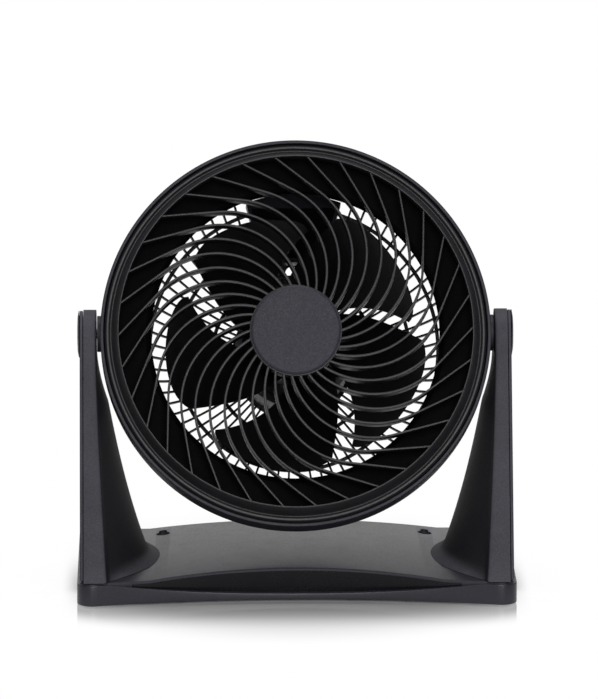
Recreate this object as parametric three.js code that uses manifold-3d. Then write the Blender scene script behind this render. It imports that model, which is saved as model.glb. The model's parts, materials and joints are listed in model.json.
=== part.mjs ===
// A tilting air circulator: a round fan head, hung on pivots between two arms of a wide base.
// Sizes are in millimetres, +Z is up and the air leaves towards -Y.
// The head is drawn in its own frame: X right, Y up and Z forward along the axis, from the pivot line.
import * as THREE from 'three';
import { mergeVertices } from 'three/addons/utils/BufferGeometryUtils.js';
import Module from 'manifold-3d';

const wasm = await Module();
wasm.setup();

// ---- driving dimensions: clearances ----
const SEAT_GAP = 0.4; // between pieces that touch when assembled
const RUNNING_GAP = 0.3; // between a shaft and the hole around it
const SCREW_GAP = 0.4; // between a screw and its hole

// ---- driving dimensions: head housing ----
const HEAD_RADIUS = 123.8;
const BAND_WALL = 2.3;
const BAND_FRONT = 19;
const BAND_REAR = -12;
const PLATE_FRONT = 10.2;
const PLATE_THICKNESS = 2.2;
const THROAT_RADIUS = 91.3;
const THROAT_ROUNDING = 3.5;
const LIP_WALL = 2.2;
const LIP_REAR = 2.4;
const LIP_FLARE = 1; // the throat's lip widens by this much towards the rear
const AXIS_DROP = 2.5; // the head's axis hangs this far below the pivot line
const HEAD_TILT = 21; // degrees that the air stream points above level at rest

// ---- driving dimensions: front grille ----
const RING_SEAM = 0.6; // open groove between the ring and the band
const RING_WIDTH = 9.1;
const RING_WALL = 2;
const RING_TIP = 27.4;
const RING_CREST = 18.2;
const SLAT_COUNT = 34;
const SLAT_START_LEAN = 19; // degrees off radial where a slat leaves the hub
const SLAT_BEND_RADIUS = 52;
const SLAT_BEND_ANGLE = 91.5;
const SLAT_ROOT_THICKNESS = 1.8;
const SLAT_END_THICKNESS = 1.2;
const SLAT_DEPTH = 12.2;
const SLAT_PHASE = 20.7; // degrees from +X to the first slat's root
const GRILLE_HUB_RADIUS = 29.2;
const GRILLE_HUB_FRONT = 28.2;
const GRILLE_HUB_DEPTH = 13;
const CAP_RADIUS = 28.4;
const CAP_HEIGHT = 2.6;
const CAP_STEM_RADIUS = 5.6;

// ---- driving dimensions: impeller and shaft ----
const BLADE_COUNT = 5;
const TIP_RADIUS_LEADING = 79;
const TIP_RADIUS_TRAILING = 85.8;
const BLADE_THICKNESS = 2;
const BLADE_REAR = -32;
const BLADE_FRONT = -1;
const BLADE_PHASE = 152; // degrees from +X to the first blade's leading corner
const IMPELLER_HUB_RADIUS = 27;
const IMPELLER_HUB_FRONT = -3.4;
const IMPELLER_HUB_REAR = -34;
const IMPELLER_WALL = 2.2;
const SHAFT_RADIUS = 4;
const SHAFT_TIP_RADIUS = 3;
const NUT_RADIUS = 8;
const NUT_LENGTH = 6;

// ---- driving dimensions: rear cover, guard and control panel ----
const CONE_WIDTH = 22.3; // from the head's band in to the guard's rim
const RIM_WIDTH = 3;
const RIM_DEPTH = 3;
const RIM_REAR = -37;
const COVER_WALL = 2;
const GUARD_RING_DEPTH = 3;
const SPOKE_COUNT = 36;
const SPOKE_THICKNESS = 1.5;
const SPOKE_DEPTH = 3;
const SPOKE_START = 0.04; // shares of the dome's curve, from the rim to the motor plate
const PANEL_SPOKE_START = 0.77;
const DOME_RINGS = [0.19, 0.52, 0.83];
const DOME_SHOULDER_INSET = 17.5; // the curve's pulling point, in from the rim
const DOME_SHOULDER_STEP = 1.5; // and forward of the motor plate
const RING_BAR = 2.4;
const MOTOR_PLATE_RADIUS = 40;
const MOTOR_PLATE_FRONT = -87.5;
const MOTOR_PLATE_THICKNESS = 3;
const PLATE_VENT_COUNT = 8;
const PLATE_VENT_INNER = 15;
const PLATE_VENT_OUTER = 31;
const PLATE_VENT_WIDTH = 3.6;
const PANEL_HALF_ANGLE = 18.1; // degrees each side of the top
const PANEL_WALL = 2.2;
const PANEL_TOP_INSET = 7.5; // from the rim down to the sloped face's upper edge
const PANEL_TOP_LENGTH = 20;
const PANEL_FOOT_RISE = 25; // from the motor plate's edge up to the sloped face's lower edge
const PANEL_FOOT_STEP = 0.5; // the face's lower edge behind the plate's front
const PANEL_SILL_DROP = 5;
const PANEL_SILL_DEPTH = 18;
const CUT_REACH = 20; // how far a cutting shape runs past the guard
const KNOB_RADIUS = 12.5;
const KNOB_HEIGHT = 11;
const SWITCH_SIZE = 20;
const SWITCH_DEPTH = 8;
const SWITCH_SHAFT_RADIUS = 2.9;
const GLAND_RADIUS = 5.8;
const GLAND_BORE = 4;
const GLAND_DROP = 24; // below the head's axis, in the motor plate

// ---- driving dimensions: motor ----
const MOTOR_COVER_RADIUS = 37.5;
const MOTOR_COVER_FRONT = -38;
const MOTOR_COVER_WALL = 2;
const MOTOR_VENT_COUNT = 12;
const MOTOR_VENT_WIDTH = 3.2;
const CORE_FRONT = -56;
const CORE_REAR = -77;
const BORE_RADIUS = 16.2;
const SLOT_RADIUS = 28;
const POLE_COUNT = 4;
const ROTOR_RADIUS = 15.6;
const MOTOR_BOLT_INSET = 6.3; // from the motor cover's outer radius
const MOTOR_VENT_DEPTH = 13;
const MOTOR_BOLT_RADIUS = 1.5;
const BRACKET_THICKNESS = 1.8;
const BEARING_RADIUS = 8;
const BEARING_LENGTH = 6.5;

// ---- driving dimensions: pivots ----
const PIVOT_BOSS_RADIUS = 11.5;
const PIVOT_BOSS_HEIGHT = 1.8;
const PIVOT_BOLT_RADIUS = 3;
const PIVOT_BOLT_HEAD_RADIUS = 6.5;
const PIVOT_BOLT_HEAD = 3.2;
const PIVOT_WASHER_RADIUS = 8;
const PIVOT_WASHER = 1;
const PIVOT_NUT_RADIUS = 6.5;
const PIVOT_NUT = 4.5;
const PIVOT_CAP_RADIUS = 15;
const PIVOT_CAP_SPIGOT = 11.6;
const PIVOT_CAP_BULGE = 1.3;

// ---- driving dimensions: stand ----
const ARM_TOP_THICKNESS = 8.3;
const ARM_TOP_RADIUS = 15.4;
const ARM_EDGE_TOP = 8;
const ARM_EDGE_FOOT = 15;
const ARM_BULGE_SLOPE = 0.16; // how fast the inner face leans in below the pivot
const ARM_FOOT_FLARE = 10.3;
const ARM_WALL = 2.4;
const ARM_FOOT_FRONT = 74;
const ARM_FOOT_REAR = 71;
const ARM_SWEEP_CLEARANCE = 1.4;
const ARM_COVER_THICKNESS = 2;
const BASE_FRONT = 77.5;
const BASE_REAR = 74.5;
const BASE_SIDE_STEP = 1.9;
const BASE_CORNER = 10;
const BASE_FRONT_SAG = 17;
const BASE_WALL = 2.6;
const DECK_HEIGHT = 15.5;
const DECK_CROWN = 5.8;
const CROWN_HALF_WIDTH = 93;
const SKIRT_BOTTOM = 1.2;
const SKIRT_LIP = 1.6;
const SKIRT_END_HEIGHT = 14.4;
const SKIRT_MIDDLE_HEIGHT = 5.1;
const SKIRT_END_LENGTH = 20.5; // the skirt's top is level this far in from each end
const HEAD_FLOOR_GAP = 11;
const KEYHOLE_SPACING = 169;
const KEYHOLE_RADIUS = 4.5;
const KEYHOLE_SLOT_RADIUS = 2.6;
const KEYHOLE_SLOT_LENGTH = 7;
const KEYHOLE_FROM_REAR = 21;
const FOOT_RADIUS = 9;
const FOOT_HEIGHT = 3.2;
const FOOT_INSET_X = 20;
const FOOT_INSET_Y = 17;
const ARM_SCREW_DEPTH = 16.3; // from the arm's outer face
const ARM_SCREW_Y = 34;
const ARM_SCREW_RADIUS = 1.9;
const ARM_SCREW_HEAD = 4;
const ARM_SCREW_LENGTH = 17;
const RIB_THICKNESS = 2;

// ---- driving dimensions: small screws ----
const RING_SCREW_RADIUS = 1.2;
const RING_SCREW_HEAD = 2.6;
const COVER_SCREW_RADIUS = 1.6;
const COVER_SCREW_HEAD = 3;
const COVER_SCREW_INSET = 16.8; // from the head's outer radius
const TOWER_RADIUS = 4.6;

// ---- round stretches ----
const ROUND = 40; // sides of the big rings
const MIDDLE_ROUND = 24;
const SMALL_ROUND = 14;
const HOLE_ROUND = 8;

const radians = THREE.MathUtils.degToRad;
const lerp = THREE.MathUtils.lerp;

// ---- sizes worked out from the ones above ----
const BAND_INNER = HEAD_RADIUS - BAND_WALL;
const RING_OUTER = BAND_INNER - RING_SEAM;
const RING_INNER = RING_OUTER - RING_WIDTH;
const PLATE_REAR = PLATE_FRONT - PLATE_THICKNESS;
const LIP_OUTER = THROAT_RADIUS + LIP_FLARE + LIP_WALL;
const RIM_FRONT = RIM_REAR + RIM_DEPTH;
const RIM_RADIUS = HEAD_RADIUS - CONE_WIDTH;
const RIM_INNER = RIM_RADIUS - RIM_WIDTH;
const COVER_SCREW_CIRCLE = HEAD_RADIUS - COVER_SCREW_INSET;
const ARM_INNER = HEAD_RADIUS + PIVOT_BOSS_HEIGHT + SEAT_GAP;
const ARM_OUTER = ARM_INNER + ARM_TOP_THICKNESS;
const COVER_INNER = ARM_OUTER + RUNNING_GAP;
const COVER_OUTER = COVER_INNER + ARM_COVER_THICKNESS;
const BASE_HALF_WIDTH = COVER_OUTER + BASE_SIDE_STEP;
const SKIRT_HALF_WIDTH = BASE_HALF_WIDTH - SKIRT_END_LENGTH;
const ARM_SCREW_X = ARM_OUTER - ARM_SCREW_DEPTH;
const HEAD_SWEEP = Math.hypot(HEAD_RADIUS + AXIS_DROP, BAND_FRONT);
const PIVOT_HEIGHT = DECK_HEIGHT + DECK_CROWN + HEAD_FLOOR_GAP + HEAD_SWEEP;
const ARM_FOOT = DECK_HEIGHT + RUNNING_GAP;
const ARM_DROP = PIVOT_HEIGHT - ARM_FOOT;
const DOME_START = [RIM_INNER + 1, RIM_REAR + 2];
const MOTOR_PLATE_REAR = MOTOR_PLATE_FRONT - MOTOR_PLATE_THICKNESS;
const DOME_SHOULDER = [RIM_RADIUS - DOME_SHOULDER_INSET, MOTOR_PLATE_FRONT + DOME_SHOULDER_STEP];
const DOME_END = [MOTOR_PLATE_RADIUS - 2, (MOTOR_PLATE_FRONT + MOTOR_PLATE_REAR) / 2];

// ---- shape helpers ----

function toSolid(geometry) {
  const bare = geometry.index ? geometry.toNonIndexed() : geometry.clone();
  bare.deleteAttribute('normal');
  bare.deleteAttribute('uv');
  const merged = mergeVertices(bare, 1e-4);
  return new wasm.Manifold(new wasm.Mesh({
    numProp: 3,
    vertProperties: merged.attributes.position.array,
    triVerts: new Uint32Array(merged.index.array),
  }));
}

function toGeometry(solid) {
  const mesh = solid.getMesh();
  const geometry = new THREE.BufferGeometry();
  geometry.setAttribute('position', new THREE.BufferAttribute(mesh.vertProperties, 3));
  geometry.setIndex(new THREE.BufferAttribute(mesh.triVerts, 1));
  geometry.computeVertexNormals();
  return geometry;
}

function join(...geometries) {
  return toGeometry(geometries.map(toSolid).reduce((all, next) => all.add(next)));
}

function cut(geometry, ...tools) {
  return toGeometry(tools.map(toSolid).reduce((left, tool) => left.subtract(tool), toSolid(geometry)));
}

function common(first, second) {
  return toGeometry(toSolid(first).intersect(toSolid(second)));
}

// Turns a [radius, along] profile about the Z axis. It starts and ends on the axis, or closes on itself.
function revolve(profile, sides = ROUND) {
  const points = profile.map(([radius, along]) => new THREE.Vector2(radius, along));
  if (THREE.ShapeUtils.area(points) < 0) points.reverse();
  const solidCore = points[0].x === 0 && points[points.length - 1].x === 0;
  if (!solidCore) points.push(points[0].clone());
  return new THREE.LatheGeometry(points, sides).rotateX(Math.PI / 2);
}

// A solid turned from a profile of the outside, given from low Z to high Z.
function turned(outline, sides = SMALL_ROUND) {
  const low = outline[0][1];
  const high = outline[outline.length - 1][1];
  return revolve([[0, low], ...outline, [0, high]], sides);
}

function ringBetween(inner, outer, low, high, sides = SMALL_ROUND) {
  return revolve([[inner, low], [outer, low], [outer, high], [inner, high]], sides);
}

function rod(radius, low, high, sides = HOLE_ROUND) {
  return turned([[radius, low], [radius, high]], sides);
}

function polygon(points) {
  return new THREE.Shape(points.map(([x, y]) => new THREE.Vector2(x, y)));
}

function extrude(shape, low, high, curveSegments = 8) {
  const depth = high - low;
  const geometry = new THREE.ExtrudeGeometry(shape, { depth, bevelEnabled: false, curveSegments });
  return geometry.translate(0, 0, low);
}

// Extrudes an outline drawn in the XZ plane along +Y.
function extrudeAlongY(shape, low, high, curveSegments = 8) {
  return extrude(shape, -high, -low, curveSegments).rotateX(Math.PI / 2);
}

// Extrudes an outline drawn in the YZ plane along +X.
function extrudeAlongX(shape, low, high, curveSegments = 8) {
  const toX = new THREE.Matrix4().set(0, 0, 1, 0, 1, 0, 0, 0, 0, 1, 0, 0, 0, 0, 0, 1);
  return extrude(shape, low, high, curveSegments).applyMatrix4(toX);
}

function block(low, high) {
  const size = high.map((value, i) => value - low[i]);
  const middle = high.map((value, i) => (value + low[i]) / 2);
  return new THREE.BoxGeometry(...size).translate(...middle);
}

function hexPrism(radius, bore, low, high) {
  const blank = new THREE.Shape();
  for (let corner = 0; corner < 6; corner += 1) {
    const angle = corner * Math.PI / 3;
    const point = [radius * Math.cos(angle), radius * Math.sin(angle)];
    if (corner === 0) blank.moveTo(...point);
    else blank.lineTo(...point);
  }
  blank.holes.push(new THREE.Path().absarc(0, 0, bore, 0, 2 * Math.PI, true));
  return extrude(blank, low, high);
}

// Skins a stack of outlines that have the same number of points, and closes both ends.
function loft(sections) {
  const count = sections[0].length;
  const points = sections.flat();
  const centres = [sections[0], sections[sections.length - 1]].map((section) => section
    .reduce((sum, point) => sum.add(point), new THREE.Vector3()).divideScalar(count));
  const index = [];
  for (let level = 0; level < sections.length - 1; level += 1) {
    for (let i = 0; i < count; i += 1) {
      const a = level * count + i;
      const b = level * count + (i + 1) % count;
      index.push(a, b, b + count, a, b + count, a + count);
    }
  }
  const last = (sections.length - 1) * count;
  for (let i = 0; i < count; i += 1) {
    const next = (i + 1) % count;
    index.push(next, i, points.length);
    index.push(last + i, last + next, points.length + 1);
  }
  const positions = [...points, ...centres].flatMap((point) => point.toArray());
  const geometry = new THREE.BufferGeometry();
  geometry.setAttribute('position', new THREE.Float32BufferAttribute(positions, 3));
  geometry.setIndex(index);
  if (signedVolume(geometry) < 0) geometry.index.array.reverse();
  return geometry;
}

function signedVolume(geometry) {
  const corner = [new THREE.Vector3(), new THREE.Vector3(), new THREE.Vector3()];
  let volume = 0;
  for (let i = 0; i < geometry.index.count; i += 3) {
    corner.forEach((point, k) => point.fromBufferAttribute(geometry.attributes.position, geometry.index.getX(i + k)));
    volume += corner[0].dot(corner[1].cross(corner[2])) / 6;
  }
  return volume;
}

function around(count, startDegrees, make) {
  return Array.from({ length: count }, (_, k) => make(radians(startDegrees + k * 360 / count), k));
}

// ---- head housing ----

const PIVOT_BOSS_CORE = PLATE_FRONT - SEAT_GAP; // radius that fits behind the front plate
const PIVOT_BOSS_INNER_END = LIP_OUTER + 13.5;
const WEB_THICKNESS = 2;
const WEB_LENGTH = PIVOT_BOSS_INNER_END - LIP_OUTER + 3;
const WEB_OFFSET = PIVOT_NUT_RADIUS + SEAT_GAP + WEB_THICKNESS / 2; // a web above and below the nut
const CORNER_SCREW_START = 45;
const COVER_SCREW_ANGLES = [30, 150, 210, 330];
const RING_SCREW_CIRCLE = (RING_INNER + RING_WALL + RING_OUTER - RING_WALL) / 2;
const TOWER_FRONT = BAND_REAR + 4;

function alongX(geometry, side) {
  return geometry.rotateY(side * Math.PI / 2);
}

function atAngle(geometry, radius, degrees) {
  const angle = radians(degrees);
  return geometry.translate(radius * Math.cos(angle), radius * Math.sin(angle), 0);
}

function housingGeometry() {
  const shell = revolve([
    [BAND_INNER, PLATE_FRONT],
    [BAND_INNER, BAND_FRONT],
    [HEAD_RADIUS - 0.8, BAND_FRONT],
    [HEAD_RADIUS, BAND_FRONT - 1],
    [HEAD_RADIUS, BAND_REAR + 6],
    [HEAD_RADIUS - 1.6, BAND_REAR],
    [BAND_INNER - 0.6, BAND_REAR],
    [BAND_INNER - 0.6, PLATE_REAR],
    [LIP_OUTER, PLATE_REAR],
    [LIP_OUTER, LIP_REAR],
    [THROAT_RADIUS + LIP_FLARE, LIP_REAR],
    [THROAT_RADIUS, PLATE_FRONT - THROAT_ROUNDING],
    [THROAT_RADIUS + 1, PLATE_FRONT - 1],
    [THROAT_RADIUS + THROAT_ROUNDING, PLATE_FRONT],
  ]);
  const bosses = [1, -1].flatMap((side) => [
    alongX(rod(PIVOT_BOSS_RADIUS, HEAD_RADIUS - 1.4, HEAD_RADIUS + PIVOT_BOSS_HEIGHT, MIDDLE_ROUND), side),
    alongX(rod(PIVOT_BOSS_CORE - 0.6, PIVOT_BOSS_INNER_END, HEAD_RADIUS - 1, SMALL_ROUND), side),
  ]).map((boss) => boss.translate(0, AXIS_DROP, 0));
  const webs = [1, -1].flatMap((side) => [1, -1].map((up) => block(
    [-WEB_LENGTH / 2, -WEB_THICKNESS / 2, BAND_REAR + 3],
    [WEB_LENGTH / 2, WEB_THICKNESS / 2, PLATE_REAR + 1],
  ).translate(side * (LIP_OUTER - 1 + WEB_LENGTH / 2), AXIS_DROP + up * WEB_OFFSET, 0)));
  const boltHoles = [1, -1].map((side) => alongX(
    rod(PIVOT_BOLT_RADIUS + RUNNING_GAP, PIVOT_BOSS_INNER_END - 7, HEAD_RADIUS + 9), side).translate(0, AXIS_DROP, 0));
  const towers = COVER_SCREW_ANGLES.map((angle) => atAngle(
    rod(TOWER_RADIUS, TOWER_FRONT, PLATE_REAR + 1), COVER_SCREW_CIRCLE, angle));
  const towerHoles = COVER_SCREW_ANGLES.map((angle) => atAngle(
    rod(COVER_SCREW_RADIUS + SCREW_GAP, TOWER_FRONT - 1, PLATE_REAR - 1), COVER_SCREW_CIRCLE, angle));
  const ringHoles = around(4, CORNER_SCREW_START, (angle) => atAngle(
    rod(RING_SCREW_RADIUS + SCREW_GAP, PLATE_REAR - 2, PLATE_FRONT + 2),
    RING_SCREW_CIRCLE, THREE.MathUtils.radToDeg(angle)));
  return cut(join(shell, ...bosses, ...webs, ...towers), ...boltHoles, ...towerHoles, ...ringHoles);
}

// ---- front grille ----

// One slat leaves the hub at a lean, bends round an arc and runs straight to the ring.
function slatOutline() {
  const start = new THREE.Vector2(GRILLE_HUB_RADIUS - 1, 0);
  const lean = radians(SLAT_START_LEAN);
  const bendCentre = new THREE.Vector2(
    start.x - SLAT_BEND_RADIUS * Math.sin(lean),
    start.y + SLAT_BEND_RADIUS * Math.cos(lean),
  );
  const bendSteps = 5;
  const middle = [];
  for (let step = 0; step <= bendSteps; step += 1) {
    const heading = radians(SLAT_START_LEAN + SLAT_BEND_ANGLE * step / bendSteps);
    middle.push({
      x: bendCentre.x + SLAT_BEND_RADIUS * Math.sin(heading),
      y: bendCentre.y - SLAT_BEND_RADIUS * Math.cos(heading),
      heading,
    });
  }
  const bend = middle[bendSteps];
  const run = reachToCircle(bend, bend.heading, RING_INNER + RING_WALL / 2);
  middle.push({
    x: bend.x + run * Math.cos(bend.heading),
    y: bend.y + run * Math.sin(bend.heading),
    heading: bend.heading,
  });
  const half = (i) => lerp(SLAT_ROOT_THICKNESS, SLAT_END_THICKNESS, i / (middle.length - 1)) / 2;
  const side = (sign) => middle.map((point, i) => [
    point.x - sign * half(i) * Math.sin(point.heading),
    point.y + sign * half(i) * Math.cos(point.heading),
  ]);
  return polygon([...side(-1), ...side(1).reverse()]);
}

// Distance from a point, along a heading, to a circle about the origin.
function reachToCircle(point, heading, radius) {
  const along = point.x * Math.cos(heading) + point.y * Math.sin(heading);
  const off = point.x * point.x + point.y * point.y - radius * radius;
  return -along + Math.sqrt(along * along - off);
}

function frontGrilleGeometry() {
  const skirtRear = PLATE_FRONT + SEAT_GAP;
  const valley = RING_CREST - 2.2;
  const ring = revolve([
    [RING_INNER, skirtRear + 2.4],
    [RING_INNER, RING_TIP - 0.8],
    [RING_INNER + 0.6, RING_TIP],
    [RING_INNER + 2.8, RING_TIP - 4.9],
    [RING_INNER + 4.8, valley],
    [RING_OUTER - 3.5, valley + 0.2],
    [RING_OUTER - 2, RING_CREST],
    [RING_OUTER, RING_CREST - 2],
    [RING_OUTER, skirtRear],
    [RING_OUTER - RING_WALL, skirtRear],
    [RING_OUTER - RING_WALL, valley - 2],
    [RING_INNER + RING_WALL + 2.8, valley - 2],
    [RING_INNER + RING_WALL, RING_TIP - 9],
    [RING_INNER + RING_WALL, skirtRear + 2.4],
  ]);
  const hub = revolve([
    [CAP_STEM_RADIUS + RUNNING_GAP, GRILLE_HUB_FRONT],
    [GRILLE_HUB_RADIUS - 0.6, GRILLE_HUB_FRONT],
    [GRILLE_HUB_RADIUS, GRILLE_HUB_FRONT - 0.6],
    [GRILLE_HUB_RADIUS, GRILLE_HUB_FRONT - GRILLE_HUB_DEPTH],
    [GRILLE_HUB_RADIUS - RING_WALL, GRILLE_HUB_FRONT - GRILLE_HUB_DEPTH],
    [GRILLE_HUB_RADIUS - RING_WALL, GRILLE_HUB_FRONT - RING_WALL],
    [CAP_STEM_RADIUS + RUNNING_GAP, GRILLE_HUB_FRONT - RING_WALL],
  ], SLAT_COUNT);
  const slat = extrude(slatOutline(), GRILLE_HUB_FRONT - 0.6 - SLAT_DEPTH, GRILLE_HUB_FRONT - 0.6);
  slopeSlat(slat);
  const slats = around(SLAT_COUNT, SLAT_PHASE, (angle) => slat.clone().rotateZ(angle));
  const lugs = around(4, CORNER_SCREW_START, (angle) => atAngle(
    rod(2.9, skirtRear, valley - 1), RING_SCREW_CIRCLE, THREE.MathUtils.radToDeg(angle)));
  const lugHoles = around(4, CORNER_SCREW_START, (angle) => atAngle(
    rod(RING_SCREW_RADIUS + SCREW_GAP, skirtRear - 1, valley - 2.5), RING_SCREW_CIRCLE,
    THREE.MathUtils.radToDeg(angle)));
  return cut(join(ring, hub, ...slats, ...lugs), ...lugHoles);
}

// The slats' fronts fall back from the hub to the ring.
function slopeSlat(geometry) {
  const fall = (GRILLE_HUB_FRONT - 0.6) - (RING_TIP - 2);
  const position = geometry.attributes.position;
  for (let i = 0; i < position.count; i += 1) {
    const radius = Math.hypot(position.getX(i), position.getY(i));
    const share = (radius - GRILLE_HUB_RADIUS) / (RING_INNER - GRILLE_HUB_RADIUS);
    position.setZ(i, position.getZ(i) - fall * Math.max(0, share));
  }
}

function grilleCapGeometry() {
  const back = GRILLE_HUB_FRONT + SEAT_GAP;
  const face = back + CAP_HEIGHT;
  return turned([
    [CAP_STEM_RADIUS, GRILLE_HUB_FRONT - 5],
    [CAP_STEM_RADIUS, back],
    [CAP_RADIUS, back],
    [CAP_RADIUS, face - 1],
    [CAP_RADIUS - 0.4, face - 0.4],
    [CAP_RADIUS - 1.2, face],
  ], MIDDLE_ROUND);
}

// ---- impeller ----

function leadingAngle(radius) {
  return BLADE_PHASE + 0.7 * (TIP_RADIUS_LEADING - radius);
}

function trailingAngle(radius) {
  const inward = TIP_RADIUS_TRAILING - radius;
  return BLADE_PHASE + 61 + 0.28 * inward + 0.006 * inward * inward;
}

// A blade is a loft of curved strips: each runs from the leading edge, which is at the rear, to the trailing one.
function bladeGeometry() {
  const stations = 5;
  const chordSteps = 6;
  const root = IMPELLER_HUB_RADIUS - IMPELLER_WALL / 2;
  const sections = [];
  for (let station = 0; station < stations; station += 1) {
    const out = station / (stations - 1);
    const front = [];
    const back = [];
    for (let step = 0; step <= chordSteps; step += 1) {
      const chord = step / chordSteps;
      const corner = 1 - 0.055 * (Math.abs(2 * chord - 1) ** 6);
      const tip = lerp(TIP_RADIUS_LEADING, TIP_RADIUS_TRAILING, chord) * corner;
      const radius = lerp(root, tip, out);
      const angle = radians(lerp(leadingAngle(radius), trailingAngle(radius), chord));
      const rearZ = lerp(BLADE_REAR - 0.5, BLADE_REAR, out);
      const frontZ = lerp(IMPELLER_HUB_FRONT - 3, BLADE_FRONT, out);
      const camber = 2.5 * Math.sin(Math.PI * chord);
      const z = lerp(rearZ, frontZ, chord) - camber;
      const half = BLADE_THICKNESS / 2 * (0.6 + 0.4 * Math.sin(Math.PI * Math.min(1, chord + 0.1)));
      const x = radius * Math.cos(angle);
      const y = radius * Math.sin(angle);
      front.push(new THREE.Vector3(x, y, z + half));
      back.push(new THREE.Vector3(x, y, z - half));
    }
    sections.push([...front, ...back.reverse()]);
  }
  return loft(sections);
}

function impellerGeometry() {
  const bore = SHAFT_RADIUS + RUNNING_GAP;
  const front = IMPELLER_HUB_FRONT;
  const hub = revolve([
    [bore, front],
    [IMPELLER_HUB_RADIUS - 4, front],
    [IMPELLER_HUB_RADIUS - 1.4, front - 1],
    [IMPELLER_HUB_RADIUS, front - 4],
    [IMPELLER_HUB_RADIUS, IMPELLER_HUB_REAR],
    [IMPELLER_HUB_RADIUS - IMPELLER_WALL, IMPELLER_HUB_REAR],
    [IMPELLER_HUB_RADIUS - IMPELLER_WALL, front - 5],
    [IMPELLER_HUB_RADIUS - 4, front - IMPELLER_WALL],
    [2 * SHAFT_RADIUS, front - IMPELLER_WALL],
    [2 * SHAFT_RADIUS, front - 22],
    [bore, front - 22],
  ], MIDDLE_ROUND);
  const blade = bladeGeometry();
  return join(hub, ...around(BLADE_COUNT, 0, (angle) => blade.clone().rotateZ(angle)));
}

function shaftGeometry() {
  return turned([
    [SHAFT_RADIUS, MOTOR_PLATE_FRONT + 3.5],
    [SHAFT_RADIUS, IMPELLER_HUB_FRONT - SEAT_GAP],
    [SHAFT_TIP_RADIUS, IMPELLER_HUB_FRONT - SEAT_GAP],
    [SHAFT_TIP_RADIUS, IMPELLER_HUB_FRONT + NUT_LENGTH + 2.5],
  ]);
}

function impellerNutGeometry() {
  const rear = IMPELLER_HUB_FRONT + SEAT_GAP;
  return hexPrism(NUT_RADIUS, SHAFT_TIP_RADIUS + RUNNING_GAP, rear, rear + NUT_LENGTH);
}

function rotorCoreGeometry() {
  const bore = SHAFT_RADIUS + RUNNING_GAP;
  return revolve([
    [bore, CORE_REAR],
    [ROTOR_RADIUS - 4, CORE_REAR - 1.6],
    [ROTOR_RADIUS - 1, CORE_REAR - 1.6],
    [ROTOR_RADIUS, CORE_REAR],
    [ROTOR_RADIUS, CORE_FRONT],
    [ROTOR_RADIUS - 1, CORE_FRONT + 1.6],
    [ROTOR_RADIUS - 4, CORE_FRONT + 1.6],
    [bore, CORE_FRONT],
  ], SMALL_ROUND);
}

// ---- motor ----

const MOTOR_BOLT_CIRCLE = MOTOR_COVER_RADIUS - MOTOR_BOLT_INSET;
const CORE_RADIUS = MOTOR_COVER_RADIUS - MOTOR_COVER_WALL - 2 * SEAT_GAP;
const WINDING_OUTER = MOTOR_BOLT_CIRCLE - MOTOR_BOLT_RADIUS - SCREW_GAP;
const WINDING_INNER = BORE_RADIUS + 2.8;
const WINDING_HEIGHT = 5.6;
const FRONT_BRACKET = CORE_FRONT + SEAT_GAP + WINDING_HEIGHT + SEAT_GAP;
const REAR_BRACKET = CORE_REAR - SEAT_GAP - WINDING_HEIGHT - SEAT_GAP - BRACKET_THICKNESS;

function boltPlaces(make) {
  return around(4, CORNER_SCREW_START, (angle) => atAngle(make(), MOTOR_BOLT_CIRCLE,
    THREE.MathUtils.radToDeg(angle)));
}

function statorCoreGeometry() {
  const outline = new THREE.Shape().absarc(0, 0, CORE_RADIUS, 0, 2 * Math.PI, false);
  const bore = [];
  const poleHalf = radians(180 / POLE_COUNT - 13);
  const arcSteps = 4;
  around(POLE_COUNT, 0, (angle) => {
    for (let step = 0; step <= arcSteps; step += 1) {
      bore.push([BORE_RADIUS, angle + poleHalf * (2 * step / arcSteps - 1)]);
    }
    bore.push([SLOT_RADIUS, angle + poleHalf + 0.08]);
    bore.push([SLOT_RADIUS, angle + 2 * Math.PI / POLE_COUNT - poleHalf - 0.08]);
  });
  const hole = new THREE.Path(bore.map(([r, a]) => new THREE.Vector2(r * Math.cos(a), r * Math.sin(a))));
  outline.holes.push(hole);
  const holes = boltPlaces(() => rod(MOTOR_BOLT_RADIUS + SCREW_GAP, CORE_REAR - 1, CORE_FRONT + 1));
  return cut(extrude(outline, CORE_REAR, CORE_FRONT, 20), ...holes);
}

function windingGeometry(low) {
  const high = low + WINDING_HEIGHT;
  return revolve([
    [WINDING_INNER + 1.5, low], [WINDING_OUTER - 1.5, low], [WINDING_OUTER, low + 1.5],
    [WINDING_OUTER, high - 1.5], [WINDING_OUTER - 1.5, high], [WINDING_INNER + 1.5, high],
    [WINDING_INNER, high - 1.5], [WINDING_INNER, low + 1.5],
  ], SMALL_ROUND);
}

// A bracket is a plate with a bearing cup that reaches in towards the rotor.
function bracketGeometry(plateLow, inward) {
  const plateHigh = plateLow + BRACKET_THICKNESS;
  const cup = BEARING_RADIUS + RUNNING_GAP;
  const cupEnd = inward > 0 ? plateLow + BEARING_LENGTH : plateHigh - BEARING_LENGTH;
  const faces = inward > 0 ? [plateLow, plateHigh, cupEnd] : [plateHigh, plateLow, cupEnd];
  const disc = revolve([
    [cup, faces[0]], [CORE_RADIUS - 1, faces[0]], [CORE_RADIUS - 1, faces[1]],
    [cup + 2, faces[1]], [cup + 2, faces[2]], [cup, faces[2]],
  ], SMALL_ROUND);
  const holes = boltPlaces(() => rod(MOTOR_BOLT_RADIUS + SCREW_GAP, plateLow - 1, plateHigh + 1));
  return cut(disc, ...holes);
}

function bearingGeometry(low) {
  return ringBetween(SHAFT_RADIUS + RUNNING_GAP, BEARING_RADIUS, low, low + BEARING_LENGTH);
}

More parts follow.
